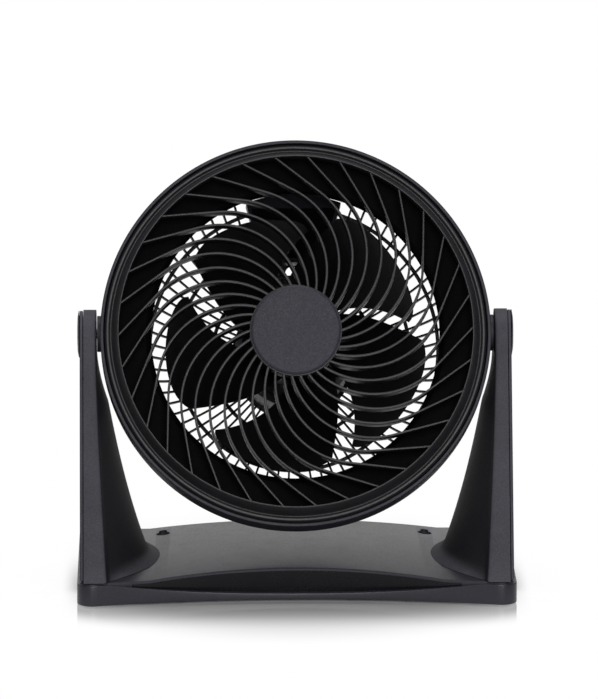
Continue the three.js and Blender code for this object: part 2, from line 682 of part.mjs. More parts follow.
function motorBoltGeometry() {
  const head = FRONT_BRACKET + BRACKET_THICKNESS + SEAT_GAP;
  return turned([
    [MOTOR_BOLT_RADIUS, REAR_BRACKET - 1],
    [MOTOR_BOLT_RADIUS, head],
    [MOTOR_BOLT_RADIUS + 1, head],
    [MOTOR_BOLT_RADIUS + 1, head + 1.6],
  ], HOLE_ROUND);
}

function motorCoverGeometry() {
  const rear = MOTOR_PLATE_FRONT + SEAT_GAP;
  const wall = MOTOR_COVER_WALL;
  const shell = revolve([
    [SHAFT_RADIUS + 2.5, MOTOR_COVER_FRONT],
    [MOTOR_COVER_RADIUS - 12, MOTOR_COVER_FRONT],
    [MOTOR_COVER_RADIUS - 4, MOTOR_COVER_FRONT - 3],
    [MOTOR_COVER_RADIUS, MOTOR_COVER_FRONT - 10],
    [MOTOR_COVER_RADIUS, rear],
    [MOTOR_COVER_RADIUS - wall, rear],
    [MOTOR_COVER_RADIUS - wall, MOTOR_COVER_FRONT - 10.5],
    [MOTOR_COVER_RADIUS - 5.2, MOTOR_COVER_FRONT - 4.8],
    [MOTOR_COVER_RADIUS - 12.5, MOTOR_COVER_FRONT - wall],
    [SHAFT_RADIUS + 2.5, MOTOR_COVER_FRONT - wall],
  ], MIDDLE_ROUND);
  const half = MOTOR_VENT_WIDTH / 2;
  const slots = around(MOTOR_VENT_COUNT, 180 / MOTOR_VENT_COUNT, (angle) => block(
    [-half, MOTOR_COVER_RADIUS - MOTOR_VENT_DEPTH, CORE_FRONT + 4],
    [half, MOTOR_COVER_RADIUS + 4, MOTOR_COVER_FRONT - 6],
  ).rotateZ(angle));
  return cut(shell, ...slots);
}

// ---- rear cover ----

function domePoint(t) {
  const curve = (a, b, c) => (1 - t) ** 2 * a + 2 * t * (1 - t) * b + t ** 2 * c;
  return [
    curve(DOME_START[0], DOME_SHOULDER[0], DOME_END[0]),
    curve(DOME_START[1], DOME_SHOULDER[1], DOME_END[1]),
  ];
}

function domeNormal(t) {
  const [r0, z0] = domePoint(Math.max(0, t - 0.02));
  const [r1, z1] = domePoint(Math.min(1, t + 0.02));
  const length = Math.hypot(r1 - r0, z1 - z0);
  return [-(z1 - z0) / length, (r1 - r0) / length];
}

// One bar of the guard, from a share of the dome's curve down to the motor plate.
function spokeGeometry(from, steps) {
  const outer = [];
  const inner = [];
  for (let step = 0; step <= steps; step += 1) {
    const t = lerp(from, 1, step / steps);
    const [r, z] = domePoint(t);
    const [nr, nz] = domeNormal(t);
    outer.push([r + nr * SPOKE_DEPTH / 2, z + nz * SPOKE_DEPTH / 2]);
    inner.push([r - nr * SPOKE_DEPTH / 2, z - nz * SPOKE_DEPTH / 2]);
  }
  const half = SPOKE_THICKNESS / 2;
  return extrude(polygon([...outer, ...inner.reverse()]), -half, half).rotateX(Math.PI / 2);
}

function domeRing(t) {
  const [r, z] = domePoint(t);
  const half = RING_BAR / 2;
  return ringBetween(r - half, r + half, z - half, z + half, SPOKE_COUNT);
}

// The panel's outline, seen from the side: up and along the axis.
const PANEL_HEAD = [RIM_RADIUS - 2.5, RIM_REAR + 2.5];
const PANEL_TOP = [RIM_RADIUS - PANEL_TOP_INSET, RIM_REAR - PANEL_TOP_LENGTH];
const PANEL_LOW = [MOTOR_PLATE_RADIUS + PANEL_FOOT_RISE, MOTOR_PLATE_FRONT - PANEL_FOOT_STEP];
const PANEL_SILL = [PANEL_LOW[0] - PANEL_SILL_DROP, PANEL_LOW[1] + PANEL_SILL_DEPTH];
const PANEL_SLOPE = Math.atan2(PANEL_TOP[1] - PANEL_LOW[1], PANEL_TOP[0] - PANEL_LOW[0]);
const PANEL_FACE = [(PANEL_TOP[0] + PANEL_LOW[0]) / 2, (PANEL_TOP[1] + PANEL_LOW[1]) / 2];

function panelOutline(inset) {
  return [
    [PANEL_HEAD[0] - inset, PANEL_HEAD[1]],
    [PANEL_TOP[0] - inset, PANEL_TOP[1] + 0.4 * inset],
    [PANEL_LOW[0] - 0.1 * inset, PANEL_LOW[1] + 1.4 * inset],
    [PANEL_SILL[0] + inset, PANEL_LOW[1] + 3.5 + inset],
    [PANEL_SILL[0] + inset, PANEL_SILL[1]],
  ];
}

// A side outline of [up, forward] points across the panel's sector of the guard, drawn in by an inset.
function acrossSector(points, inset) {
  const reach = RIM_RADIUS + CUT_REACH;
  const half = reach * Math.tan(radians(PANEL_HALF_ANGLE));
  const low = MOTOR_PLATE_FRONT - CUT_REACH;
  const sector = extrude(polygon([[0, 0], [half, reach], [-half, reach]]), low, 0)
    .translate(0, inset / Math.sin(radians(PANEL_HALF_ANGLE)), 0);
  const inRim = rod(RIM_INNER - 2 * SEAT_GAP - inset, low, 0, ROUND);
  return common(common(extrudeAlongX(polygon(points), -half, half), sector), inRim);
}

function panelGeometry() {
  const inner = panelOutline(PANEL_WALL);
  const mouth = [
    [inner[4][0], PANEL_SILL[1] + 9],
    [inner[0][0], PANEL_HEAD[1] + 9],
  ];
  const shaftHole = panelPlaced(rod(SWITCH_SHAFT_RADIUS + 2 * SCREW_GAP, -8, 8));
  return cut(acrossSector(panelOutline(0), 0), acrossSector([...inner, ...mouth], PANEL_WALL), shaftHole);
}

// The room that the guard leaves for the panel and for what sits on its face.
function panelRoom() {
  const outline = panelOutline(-SEAT_GAP);
  const top = outline[0];
  const sill = outline[4];
  const behind = MOTOR_PLATE_FRONT - CUT_REACH + 1;
  return acrossSector([top, [top[0], behind], [sill[0], behind], sill], -SEAT_GAP);
}

// Moves a shape drawn on the panel's face, with Z outwards, to its place on the head.
function panelPlaced(geometry) {
  return geometry.rotateX(panelTurn()).translate(0, PANEL_FACE[0], PANEL_FACE[1]);
}

function panelTurn() {
  return -Math.atan2(Math.sin(PANEL_SLOPE), -Math.cos(PANEL_SLOPE));
}

function coverSkin() {
  const lipOuter = BAND_INNER - 0.6 - SEAT_GAP;
  const front = BAND_REAR - SEAT_GAP;
  return revolve([
    [HEAD_RADIUS - 1.8, front],
    [HEAD_RADIUS - 5.8, front - 5.6],
    [RIM_RADIUS + 3, RIM_FRONT + 4],
    [RIM_RADIUS, RIM_FRONT],
    [RIM_RADIUS, RIM_REAR],
    [RIM_INNER, RIM_REAR],
    [RIM_INNER, RIM_FRONT + 1],
    [RIM_RADIUS + 3.6 - COVER_WALL, RIM_FRONT + 4 + COVER_WALL],
    [HEAD_RADIUS - 5.8 - COVER_WALL, front - 4],
    [lipOuter - COVER_WALL, front + 3],
    [lipOuter, front + 3],
    [lipOuter, front],
  ]);
}

function rearCoverGeometry() {
  const towerRear = RIM_REAR + 5;
  const towers = COVER_SCREW_ANGLES.map((angle) => atAngle(
    rod(TOWER_RADIUS, towerRear, TOWER_FRONT - SEAT_GAP), COVER_SCREW_CIRCLE, angle));
  const bores = COVER_SCREW_ANGLES.flatMap((angle) => [
    atAngle(rod(COVER_SCREW_HEAD + SCREW_GAP, towerRear - 9, TOWER_FRONT - 6), COVER_SCREW_CIRCLE, angle),
    atAngle(rod(COVER_SCREW_RADIUS + SCREW_GAP, towerRear - 9, TOWER_FRONT + 1), COVER_SCREW_CIRCLE, angle),
  ]);
  return cut(join(coverSkin(), ...towers), ...bores);
}

function motorPlateGeometry() {
  const plate = revolve([
    [8, MOTOR_PLATE_FRONT], [MOTOR_PLATE_RADIUS, MOTOR_PLATE_FRONT],
    [MOTOR_PLATE_RADIUS, MOTOR_PLATE_REAR + 1],
    [MOTOR_PLATE_RADIUS - 1, MOTOR_PLATE_REAR],
    [8, MOTOR_PLATE_REAR],
  ], MIDDLE_ROUND);
  const low = MOTOR_PLATE_REAR - 1;
  const high = MOTOR_PLATE_FRONT + 1;
  const half = PLATE_VENT_WIDTH / 2;
  const vents = around(PLATE_VENT_COUNT, 180 / PLATE_VENT_COUNT, (angle) => block(
    [PLATE_VENT_INNER, -half, low], [PLATE_VENT_OUTER, half, high]).rotateZ(angle));
  const cordHole = rod(GLAND_RADIUS + 2 * SCREW_GAP, low, high).translate(0, -GLAND_DROP, 0);
  return cut(plate, ...vents, cordHole);
}

// The guard is a dome of bars and rings between the cover's rim and the motor plate, open where the panel sits.
function rearGuardGeometry() {
  const high = RIM_REAR - SEAT_GAP;
  const seat = ringBetween(RIM_INNER + SEAT_GAP, RIM_RADIUS, high - GUARD_RING_DEPTH, high, SPOKE_COUNT);
  const long = spokeGeometry(SPOKE_START, 3);
  const short = spokeGeometry(PANEL_SPOKE_START, 1);
  const upright = Math.PI / 2;
  const hidden = radians(PANEL_HALF_ANGLE + 1);
  const spokes = around(SPOKE_COUNT, 0, (angle) => {
    const spoke = Math.abs(angle - upright) > hidden ? long : short;
    return spoke.clone().rotateZ(angle);
  });
  const rings = DOME_RINGS.map(domeRing);
  const lattice = cut(join(...rings, ...spokes), panelRoom());
  return join(seat, lattice, motorPlateGeometry());
}

// ---- controls ----

function switchCoverGeometry() {
  const from = new THREE.Vector2(...PANEL_SILL);
  const to = new THREE.Vector2(...PANEL_HEAD);
  const run = to.clone().sub(from);
  const length = run.length();
  run.normalize();
  const inward = new THREE.Vector2(run.y, -run.x);
  const at = (along, deep) => from.clone().addScaledVector(run, along).addScaledVector(inward, deep).toArray();
  const outline = [at(4.2, 0.8), at(length - 7.5, 0.8), at(length - 7.5, 2.8), at(4.2, 2.8)];
  return acrossSector(outline, PANEL_WALL + SEAT_GAP);
}

function switchBodyGeometry() {
  const top = -PANEL_WALL - SEAT_GAP - 0.4;
  const low = top - SWITCH_DEPTH;
  const half = SWITCH_SIZE / 2;
  const body = block([-half, -half, low], [half, half, top]);
  const bore = rod(SWITCH_SHAFT_RADIUS + RUNNING_GAP, low + 3, top + 1);
  return cut(body, bore);
}

function switchShaftGeometry() {
  return rod(SWITCH_SHAFT_RADIUS, -PANEL_WALL - SWITCH_DEPTH + 4, KNOB_HEIGHT - 3);
}

function knobGeometry() {
  const skirt = turned([
    [KNOB_RADIUS, 0.8],
    [KNOB_RADIUS, 2.6],
    [KNOB_RADIUS - 1.4, 4.2],
    [KNOB_RADIUS - 3, 4.8],
  ], MIDDLE_ROUND);
  const grip = extrude(new THREE.Shape()
    .moveTo(-2.4, -KNOB_RADIUS + 2)
    .absarc(0, KNOB_RADIUS - 3.2, 1.6, 0, Math.PI, false)
    .lineTo(-3.6, 0)
    .absarc(0, -KNOB_RADIUS + 4.4, 3, Math.PI, 2 * Math.PI, false)
    .lineTo(3.6, 0), 4, KNOB_HEIGHT, 5);
  const bore = rod(SWITCH_SHAFT_RADIUS + RUNNING_GAP, 0, KNOB_HEIGHT - 2.4);
  return cut(join(skirt, grip, rod(5.2, 1, KNOB_HEIGHT - 1.2)), bore);
}

function glandGeometry() {
  const flange = MOTOR_PLATE_REAR - SEAT_GAP;
  return revolve([
    [GLAND_BORE, MOTOR_PLATE_FRONT - 1],
    [GLAND_RADIUS, MOTOR_PLATE_FRONT - 1],
    [GLAND_RADIUS, flange],
    [GLAND_RADIUS + 2, flange],
    [GLAND_RADIUS + 2, flange - 1.6],
    [GLAND_BORE + 1.2, flange - 2.6],
    [GLAND_BORE + 1, flange - 5],
    [GLAND_BORE, flange - 5],
  ], SMALL_ROUND);
}

// ---- pivots ----

const ARM_WALL_OUTER = ARM_INNER + ARM_WALL;

function pivotBoltGeometry() {
  const head = ARM_WALL_OUTER + SEAT_GAP + PIVOT_WASHER + SEAT_GAP;
  return turned([
    [PIVOT_BOLT_RADIUS, PIVOT_BOSS_INNER_END - PIVOT_NUT - 1],
    [PIVOT_BOLT_RADIUS, head],
    [PIVOT_BOLT_HEAD_RADIUS, head],
    [PIVOT_BOLT_HEAD_RADIUS, head + PIVOT_BOLT_HEAD - 0.8],
    [PIVOT_BOLT_HEAD_RADIUS - 1.2, head + PIVOT_BOLT_HEAD],
  ]);
}

function pivotWasherGeometry() {
  const low = ARM_WALL_OUTER + SEAT_GAP;
  return ringBetween(PIVOT_BOLT_RADIUS + RUNNING_GAP, PIVOT_WASHER_RADIUS, low, low + PIVOT_WASHER);
}

function pivotNutGeometry() {
  const high = PIVOT_BOSS_INNER_END - SEAT_GAP;
  return hexPrism(PIVOT_NUT_RADIUS, PIVOT_BOLT_RADIUS + RUNNING_GAP, high - PIVOT_NUT, high);
}

function pivotCapGeometry() {
  const flange = COVER_OUTER + RUNNING_GAP;
  return turned([
    [PIVOT_CAP_SPIGOT, COVER_INNER + 0.2],
    [PIVOT_CAP_SPIGOT, flange],
    [PIVOT_CAP_RADIUS, flange],
    [PIVOT_CAP_RADIUS - 0.3, flange + 0.4],
    [PIVOT_CAP_RADIUS - 4, flange + PIVOT_CAP_BULGE],
  ], MIDDLE_ROUND);
}

// ---- arms ----

// The reach of the arm's edge in front of or behind the pivot line, at a depth below it.
function edgeReach(below, footReach, inset) {
  const radius = ARM_TOP_RADIUS - inset;
  const reach = footReach - inset;
  const toFoot = Math.atan2(ARM_DROP, reach) - Math.acos(radius / Math.hypot(ARM_DROP, reach));
  const touch = [radius * Math.cos(toFoot), radius * Math.sin(toFoot)];
  if (below <= touch[1]) return Math.sqrt(Math.max(0, radius * radius - below * below));
  return lerp(touch[0], reach, (below - touch[1]) / (ARM_DROP - touch[1]));
}

function armInnerFace(below) {
  const share = Math.max(0, below) / ARM_DROP;
  const leaning = ARM_INNER - ARM_BULGE_SLOPE * Math.max(0, below) - ARM_FOOT_FLARE * share ** 3;
  const sweep = HEAD_SWEEP - AXIS_DROP + ARM_SWEEP_CLEARANCE;
  const cleared = Math.sqrt(Math.max(0, sweep * sweep - below * below));
  return Math.min(ARM_INNER, Math.max(leaning, cleared));
}

function armSection(below, inset, outerX) {
  const front = -edgeReach(below, ARM_FOOT_FRONT, inset);
  const rear = edgeReach(below, ARM_FOOT_REAR, inset);
  const share = Math.max(0, below) / ARM_DROP;
  const edge = ARM_OUTER - Math.max(
    ARM_OUTER - armInnerFace(0), lerp(ARM_EDGE_TOP, ARM_EDGE_FOOT, share ** 1.3)) + inset;
  const inner = Math.min(edge, armInnerFace(below) + inset);
  const z = PIVOT_HEIGHT - below;
  const section = [new THREE.Vector3(outerX, front, z)];
  const steps = 7;
  for (let step = 0; step <= steps; step += 1) {
    const across = step / steps;
    const x = edge - (edge - inner) * Math.sin(Math.PI * across);
    section.push(new THREE.Vector3(x, lerp(front, rear, across), z));
  }
  section.push(new THREE.Vector3(outerX, rear, z));
  return section;
}

const ARM_TOP_STEP = 20.5; // degrees round the rounded top

function armLevels(inset, foot) {
  const straight = [1, 0.85, 0.7, 0.55, 0.42, 0.3, 0.2, 0.1, 0].map((share) => share * foot);
  const top = [1, 2, 3, 4].map((step) => -(ARM_TOP_RADIUS - inset) * Math.sin(radians(step * ARM_TOP_STEP)));
  return [...straight, ...top];
}

function armGeometry(side) {
  const outer = loft(armLevels(0, ARM_DROP).map((below) => armSection(below, 0, ARM_OUTER)));
  const cavityFoot = ARM_DROP - 3;
  const cavity = loft(armLevels(ARM_WALL, cavityFoot)
    .map((below) => armSection(below, ARM_WALL, ARM_OUTER + 5)));
  const screwPlaces = [ARM_SCREW_Y, -ARM_SCREW_Y];
  const bosses = screwPlaces.map((y) => rod(4.6, ARM_FOOT + 1, ARM_FOOT + ARM_SCREW_LENGTH + 3)
    .translate(ARM_SCREW_X, y, 0));
  const screwHoles = screwPlaces.map((y) => rod(
    ARM_SCREW_RADIUS + SCREW_GAP, ARM_FOOT - 1, ARM_FOOT + ARM_SCREW_LENGTH).translate(ARM_SCREW_X, y, 0));
  const pivotHole = alongX(rod(PIVOT_BOLT_RADIUS + RUNNING_GAP, ARM_INNER - 4, ARM_OUTER + 4), 1)
    .translate(0, 0, PIVOT_HEIGHT);
  const arm = cut(join(cut(outer, cavity), ...bosses), pivotHole, ...screwHoles);
  return sided(arm, side);
}

// Mirrors a shape of the right side to the left one.
function sided(geometry, side) {
  if (side > 0) return geometry;
  const mirrored = geometry.clone().scale(-1, 1, 1);
  mirrored.index.array.reverse();
  mirrored.computeVertexNormals();
  return mirrored;
}

function armSideOutline(inset) {
  const radius = ARM_TOP_RADIUS - inset;
  const touchAngle = (reach) => Math.atan2(ARM_DROP, reach - inset)
    - Math.acos(radius / Math.hypot(ARM_DROP, reach - inset));
  const low = -ARM_DROP + inset;
  const outline = new THREE.Shape();
  outline.moveTo(-ARM_FOOT_FRONT + inset, low);
  outline.lineTo(ARM_FOOT_REAR - inset, low);
  outline.absarc(0, 0, radius, -touchAngle(ARM_FOOT_REAR), Math.PI + touchAngle(ARM_FOOT_FRONT), false);
  return outline;
}

function armCoverGeometry(side) {
  const outline = armSideOutline(0.7);
  const plate = extrudeAlongX(outline, COVER_INNER, COVER_OUTER, 14).translate(0, 0, PIVOT_HEIGHT);
  const capHole = alongX(rod(PIVOT_CAP_SPIGOT + SEAT_GAP, COVER_INNER - 2, COVER_OUTER + 2, MIDDLE_ROUND), 1)
    .translate(0, 0, PIVOT_HEIGHT);
  const cover = cut(plate, capHole);
  return sided(cover, side);
}

function armScrewGeometry() {
  const head = DECK_HEIGHT - BASE_WALL - SEAT_GAP;
  return turned([
    [ARM_SCREW_HEAD, head - 2.2],
    [ARM_SCREW_HEAD, head],
    [ARM_SCREW_RADIUS, head],
    [ARM_SCREW_RADIUS, ARM_FOOT + ARM_SCREW_LENGTH - 1],
  ], HOLE_ROUND);
}

// ---- base ----

function planOutline(inset) {
  const half = BASE_HALF_WIDTH - inset;
  const front = -BASE_FRONT + inset;
  const rear = BASE_REAR - inset;
  const corner = BASE_CORNER - inset / 2;
  const outline = new THREE.Shape();
  outline.moveTo(-half + corner, front);
  outline.quadraticCurveTo(0, front + 2 * BASE_FRONT_SAG, half - corner, front);
  outline.absarc(half - corner, front + corner, corner, -Math.PI / 2, 0, false);
  outline.absarc(half - corner, rear - corner, corner, 0, Math.PI / 2, false);
  outline.absarc(-half + corner, rear - corner, corner, Math.PI / 2, Math.PI, false);
  outline.absarc(-half + corner, front + corner, corner, Math.PI, 1.5 * Math.PI, false);
  return outline;
}

// The space under a curve height(x), across the base's whole width.
function underCurve(height, halfWidth) {
  const wide = BASE_HALF_WIDTH + 5;
  const steps = 12;
  const points = [[-wide, SKIRT_BOTTOM - 5], [wide, SKIRT_BOTTOM - 5], [wide, height(halfWidth)]];
  for (let step = 0; step <= steps; step += 1) {
    const x = lerp(halfWidth, -halfWidth, step / steps);
    points.push([x, height(x)]);
  }
  points.push([-wide, height(halfWidth)]);
  return extrudeAlongY(polygon(points), -BASE_FRONT - 5, BASE_REAR + 5);
}

function deckHeight(x) {
  return DECK_HEIGHT + DECK_CROWN * (1 - Math.min(1, Math.abs(x) / CROWN_HALF_WIDTH) ** 2);
}

function skirtHeight(x) {
  const share = Math.min(1, Math.abs(x) / SKIRT_HALF_WIDTH);
  return SKIRT_MIDDLE_HEIGHT + (SKIRT_END_HEIGHT - SKIRT_MIDDLE_HEIGHT) * share ** 2.2;
}

function keyholeCut(x) {
  const y = BASE_REAR - KEYHOLE_FROM_REAR;
  const low = SKIRT_BOTTOM + 5;
  const high = DECK_HEIGHT + DECK_CROWN + 5;
  const end = y + KEYHOLE_SLOT_LENGTH;
  const round = rod(KEYHOLE_RADIUS, low, high, SMALL_ROUND).translate(x, y, 0);
  const slotEnd = rod(KEYHOLE_SLOT_RADIUS, low, high).translate(x, end, 0);
  const slot = block([x - KEYHOLE_SLOT_RADIUS, y, low], [x + KEYHOLE_SLOT_RADIUS, end, high]);
  return join(round, slotEnd, slot);
}

function footPlaces() {
  const x = BASE_HALF_WIDTH - FOOT_INSET_X;
  return {
    front_left: [-x, -BASE_FRONT + FOOT_INSET_Y],
    front_right: [x, -BASE_FRONT + FOOT_INSET_Y],
    rear_left: [-x, BASE_REAR - FOOT_INSET_Y],
    rear_right: [x, BASE_REAR - FOOT_INSET_Y],
  };
}

function baseGeometry() {
  const tall = DECK_HEIGHT + DECK_CROWN + 5;
  const upper = common(extrude(planOutline(SKIRT_LIP), SKIRT_BOTTOM, tall, 5), underCurve(deckHeight, CROWN_HALF_WIDTH));
  const skirt = common(extrude(planOutline(0), SKIRT_BOTTOM, tall, 5), underCurve(skirtHeight, SKIRT_HALF_WIDTH));
  const hollow = common(
    extrude(planOutline(SKIRT_LIP + BASE_WALL), SKIRT_BOTTOM - 1, tall, 5),
    underCurve((x) => deckHeight(x) - BASE_WALL, CROWN_HALF_WIDTH),
  );
  const shell = cut(join(upper, skirt), hollow);
  const footBosses = Object.values(footPlaces()).map(([x, y]) => rod(
    FOOT_RADIUS + 1.6, FOOT_HEIGHT + RUNNING_GAP, DECK_HEIGHT - 1, SMALL_ROUND).translate(x, y, 0));
  const ribs = [-72, -36, 0, 36, 72].map((x) => common(
    block([x - RIB_THICKNESS / 2, -BASE_FRONT, 9], [x + RIB_THICKNESS / 2, BASE_REAR, tall]),
    common(extrude(planOutline(SKIRT_LIP + 1), SKIRT_BOTTOM, tall, 5), underCurve((w) => deckHeight(w) - 1, CROWN_HALF_WIDTH)),
  ));
  const keyholes = [-0.5, 0.5].map((side) => keyholeCut(side * KEYHOLE_SPACING));
  const screwHoles = [1, -1].flatMap((sx) => [1, -1].map((sy) => rod(
    ARM_SCREW_RADIUS + SCREW_GAP, DECK_HEIGHT - BASE_WALL - 2, DECK_HEIGHT + 2)
    .translate(sx * ARM_SCREW_X, sy * ARM_SCREW_Y, 0)));
  return cut(join(shell, ...footBosses, ...ribs), ...keyholes, ...screwHoles);
}

function footGeometry() {
  return turned([
    [FOOT_RADIUS - 0.8, 0],
    [FOOT_RADIUS, 0.8],
    [FOOT_RADIUS, FOOT_HEIGHT],
  ], SMALL_ROUND);
}

// ---- small screws ----

function ringScrewGeometry() {
  const seat = PLATE_REAR - SEAT_GAP;
  return turned([
    [RING_SCREW_HEAD, seat - 1.8],
    [RING_SCREW_HEAD, seat],
    [RING_SCREW_RADIUS, seat],
    [RING_SCREW_RADIUS, PLATE_FRONT + 2.6],
  ], HOLE_ROUND);
}

function coverScrewGeometry() {
  const seat = TOWER_FRONT - 6 - SEAT_GAP;
  return turned([
    [COVER_SCREW_HEAD, seat - 2.2],
    [COVER_SCREW_HEAD, seat],
    [COVER_SCREW_RADIUS, seat],
    [COVER_SCREW_RADIUS, PLATE_REAR - 2],
  ], HOLE_ROUND);
}

// ---- materials ----

const CHARCOAL = { color: 0x3c3c3f, roughness: 0.55, metalness: 0 };
const DARK_PLASTIC = { color: 0x1b1b1d, roughness: 0.5, metalness: 0 };
const RUBBER = { color: 0x18181a, roughness: 0.9, metalness: 0 };
const STEEL = { color: 0x9a9ca0, roughness: 0.35, metalness: 1 };
const BRONZE = { color: 0x9b7a3c, roughness: 0.4, metalness: 1 };
const COPPER = { color: 0xa4532a, roughness: 0.45, metalness: 1 };

function piece(group, name, geometry, look) {
  const mesh = new THREE.Mesh(geometry, new THREE.MeshStandardMaterial(look));
  mesh.name = name;
  group.add(mesh);
  return mesh;
}

// ---- assembly ----

const fan = new THREE.Group();
const stand = new THREE.Group();
const head = new THREE.Group(); // at the pivot line, Z forward and Y up
const axis = new THREE.Group(); // on the head's own axis
const panel = new THREE.Group(); // on the control panel's face, Z outwards
const sides = { left: -1, right: 1 };

fan.add(stand, head);
head.add(axis);
axis.add(panel);
head.position.z = PIVOT_HEIGHT;
head.rotation.x = Math.PI / 2 - radians(HEAD_TILT);
axis.position.y = -AXIS_DROP;
panel.position.set(0, PANEL_FACE[0], PANEL_FACE[1]);
panel.rotation.x = panelTurn();

piece(stand, 'base_shell', baseGeometry(), CHARCOAL);
for (const [place, [x, y]] of Object.entries(footPlaces())) {
  piece(stand, `foot_${place}`, footGeometry(), RUBBER).position.set(x, y, 0);
}
for (const [name, side] of Object.entries(sides)) {
  piece(stand, `arm_${name}`, armGeometry(side), CHARCOAL);
  piece(stand, `arm_cover_${name}`, armCoverGeometry(side), DARK_PLASTIC);
  for (const [place, y] of [['front', -ARM_SCREW_Y], ['rear', ARM_SCREW_Y]]) {
    const screw = piece(stand, `arm_screw_${name}_${place}`, armScrewGeometry(), STEEL);
    screw.position.set(side * ARM_SCREW_X, y, 0);
  }
  const turn = side * Math.PI / 2;
  const cap = piece(stand, `pivot_cap_${name}`, pivotCapGeometry(), DARK_PLASTIC);
  const washer = piece(stand, `pivot_washer_${name}`, pivotWasherGeometry(), STEEL);
  for (const part of [cap, washer]) {
    part.rotation.y = turn;
    part.position.z = PIVOT_HEIGHT;
  }
  piece(head, `pivot_bolt_${name}`, pivotBoltGeometry(), STEEL).rotation.y = turn;
  piece(head, `pivot_nut_${name}`, pivotNutGeometry(), STEEL).rotation.y = turn;
}

piece(axis, 'housing', housingGeometry(), CHARCOAL);
piece(axis, 'front_grille', frontGrilleGeometry(), CHARCOAL);
piece(axis, 'grille_cap', grilleCapGeometry(), CHARCOAL);
piece(axis, 'rear_cover', rearCoverGeometry(), DARK_PLASTIC);
piece(axis, 'rear_guard', rearGuardGeometry(), DARK_PLASTIC);
piece(axis, 'control_panel', panelGeometry(), DARK_PLASTIC);
around(4, CORNER_SCREW_START, (angle, k) => {
  const screw = piece(axis, `grille_screw_${k + 1}`, ringScrewGeometry(), STEEL);
  screw.position.set(RING_SCREW_CIRCLE * Math.cos(angle), RING_SCREW_CIRCLE * Math.sin(angle), 0);
  const bolt = piece(axis, `motor_bolt_${k + 1}`, motorBoltGeometry(), STEEL);
  bolt.position.set(MOTOR_BOLT_CIRCLE * Math.cos(angle), MOTOR_BOLT_CIRCLE * Math.sin(angle), 0);
});
COVER_SCREW_ANGLES.forEach((degrees, k) => {
  const angle = radians(degrees);
  const screw = piece(axis, `cover_screw_${k + 1}`, coverScrewGeometry(), STEEL);
  screw.position.set(COVER_SCREW_CIRCLE * Math.cos(angle), COVER_SCREW_CIRCLE * Math.sin(angle), 0);
});

piece(axis, 'motor_cover', motorCoverGeometry(), DARK_PLASTIC);
piece(axis, 'stator_core', statorCoreGeometry(), STEEL);
piece(axis, 'winding_front', windingGeometry(CORE_FRONT + SEAT_GAP), COPPER);
piece(axis, 'winding_rear', windingGeometry(CORE_REAR - SEAT_GAP - WINDING_HEIGHT), COPPER);
piece(axis, 'bracket_front', bracketGeometry(FRONT_BRACKET, -1), STEEL);
piece(axis, 'bracket_rear', bracketGeometry(REAR_BRACKET, 1), STEEL);
piece(axis, 'bearing_front', bearingGeometry(FRONT_BRACKET + BRACKET_THICKNESS - BEARING_LENGTH), BRONZE);
piece(axis, 'bearing_rear', bearingGeometry(REAR_BRACKET), BRONZE);

piece(axis, 'impeller', impellerGeometry(), DARK_PLASTIC);
piece(axis, 'impeller_nut', impellerNutGeometry(), DARK_PLASTIC);
piece(axis, 'motor_shaft', shaftGeometry(), STEEL);
piece(axis, 'rotor_core', rotorCoreGeometry(), STEEL);

piece(axis, 'switch_cover', switchCoverGeometry(), DARK_PLASTIC);
piece(axis, 'cord_gland', glandGeometry(), RUBBER).position.y = -GLAND_DROP;
piece(panel, 'rotary_switch', switchBodyGeometry(), DARK_PLASTIC);
piece(panel, 'switch_shaft', switchShaftGeometry(), STEEL);
piece(panel, 'control_knob', knobGeometry(), DARK_PLASTIC);

// The origin is under the middle of the whole fan, at the floor.
const bounds = new THREE.Box3().setFromObject(fan, true);
fan.position.y = -(bounds.min.y + bounds.max.y) / 2;

export default fan;
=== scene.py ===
"""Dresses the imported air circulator: fine meshes and moulded finishes over the CAD frame."""

import json
import logging
import math
from dataclasses import dataclass, field
from enum import Enum
from typing import Callable, Iterable, Sequence

import bpy
from mathutils import Matrix, Vector


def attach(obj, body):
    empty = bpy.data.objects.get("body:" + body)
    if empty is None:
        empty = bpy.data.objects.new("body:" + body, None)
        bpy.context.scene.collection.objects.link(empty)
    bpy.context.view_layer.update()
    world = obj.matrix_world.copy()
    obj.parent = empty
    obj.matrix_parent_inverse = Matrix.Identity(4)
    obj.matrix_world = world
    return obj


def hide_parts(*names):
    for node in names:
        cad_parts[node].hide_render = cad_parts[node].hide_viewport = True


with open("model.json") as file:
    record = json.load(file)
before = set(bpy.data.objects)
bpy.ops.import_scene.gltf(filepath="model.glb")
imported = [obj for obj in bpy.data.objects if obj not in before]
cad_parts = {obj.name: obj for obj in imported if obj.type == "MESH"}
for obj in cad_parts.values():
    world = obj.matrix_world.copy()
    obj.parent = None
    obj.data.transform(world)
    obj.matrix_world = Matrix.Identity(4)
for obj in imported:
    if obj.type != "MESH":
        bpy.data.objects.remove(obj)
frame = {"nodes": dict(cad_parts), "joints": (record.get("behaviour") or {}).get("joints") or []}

log = logging.getLogger("fan")
Point2 = tuple[float, float]
Triple = tuple[float, float, float]
Colour = tuple[float, float, float, float]

MM = 0.001
TINY = 1e-6
# Sizes that several sub-assemblies share, in millimetres and degrees.
HEAD_TILT = 21.0
AXIS_DROP = 2.5
TOWER_CIRCLE = 107.0
TOWER_ANGLES = (30.0, 150.0, 210.0, 330.0)
FOOT_X = 118.5
FOOT_ENDS = {"front": -60.5, "rear": 57.5}
# The edge rounding and the steps round that the large moulded rings have.
MOULD_EDGE = 0.7
RING_SIDES = 256
# A rounded corner takes at most this share of each of its sides, and one wider than this angle stays as it is.
CORNER_SHARE = 0.45
FLAT_CORNER = math.radians(172)
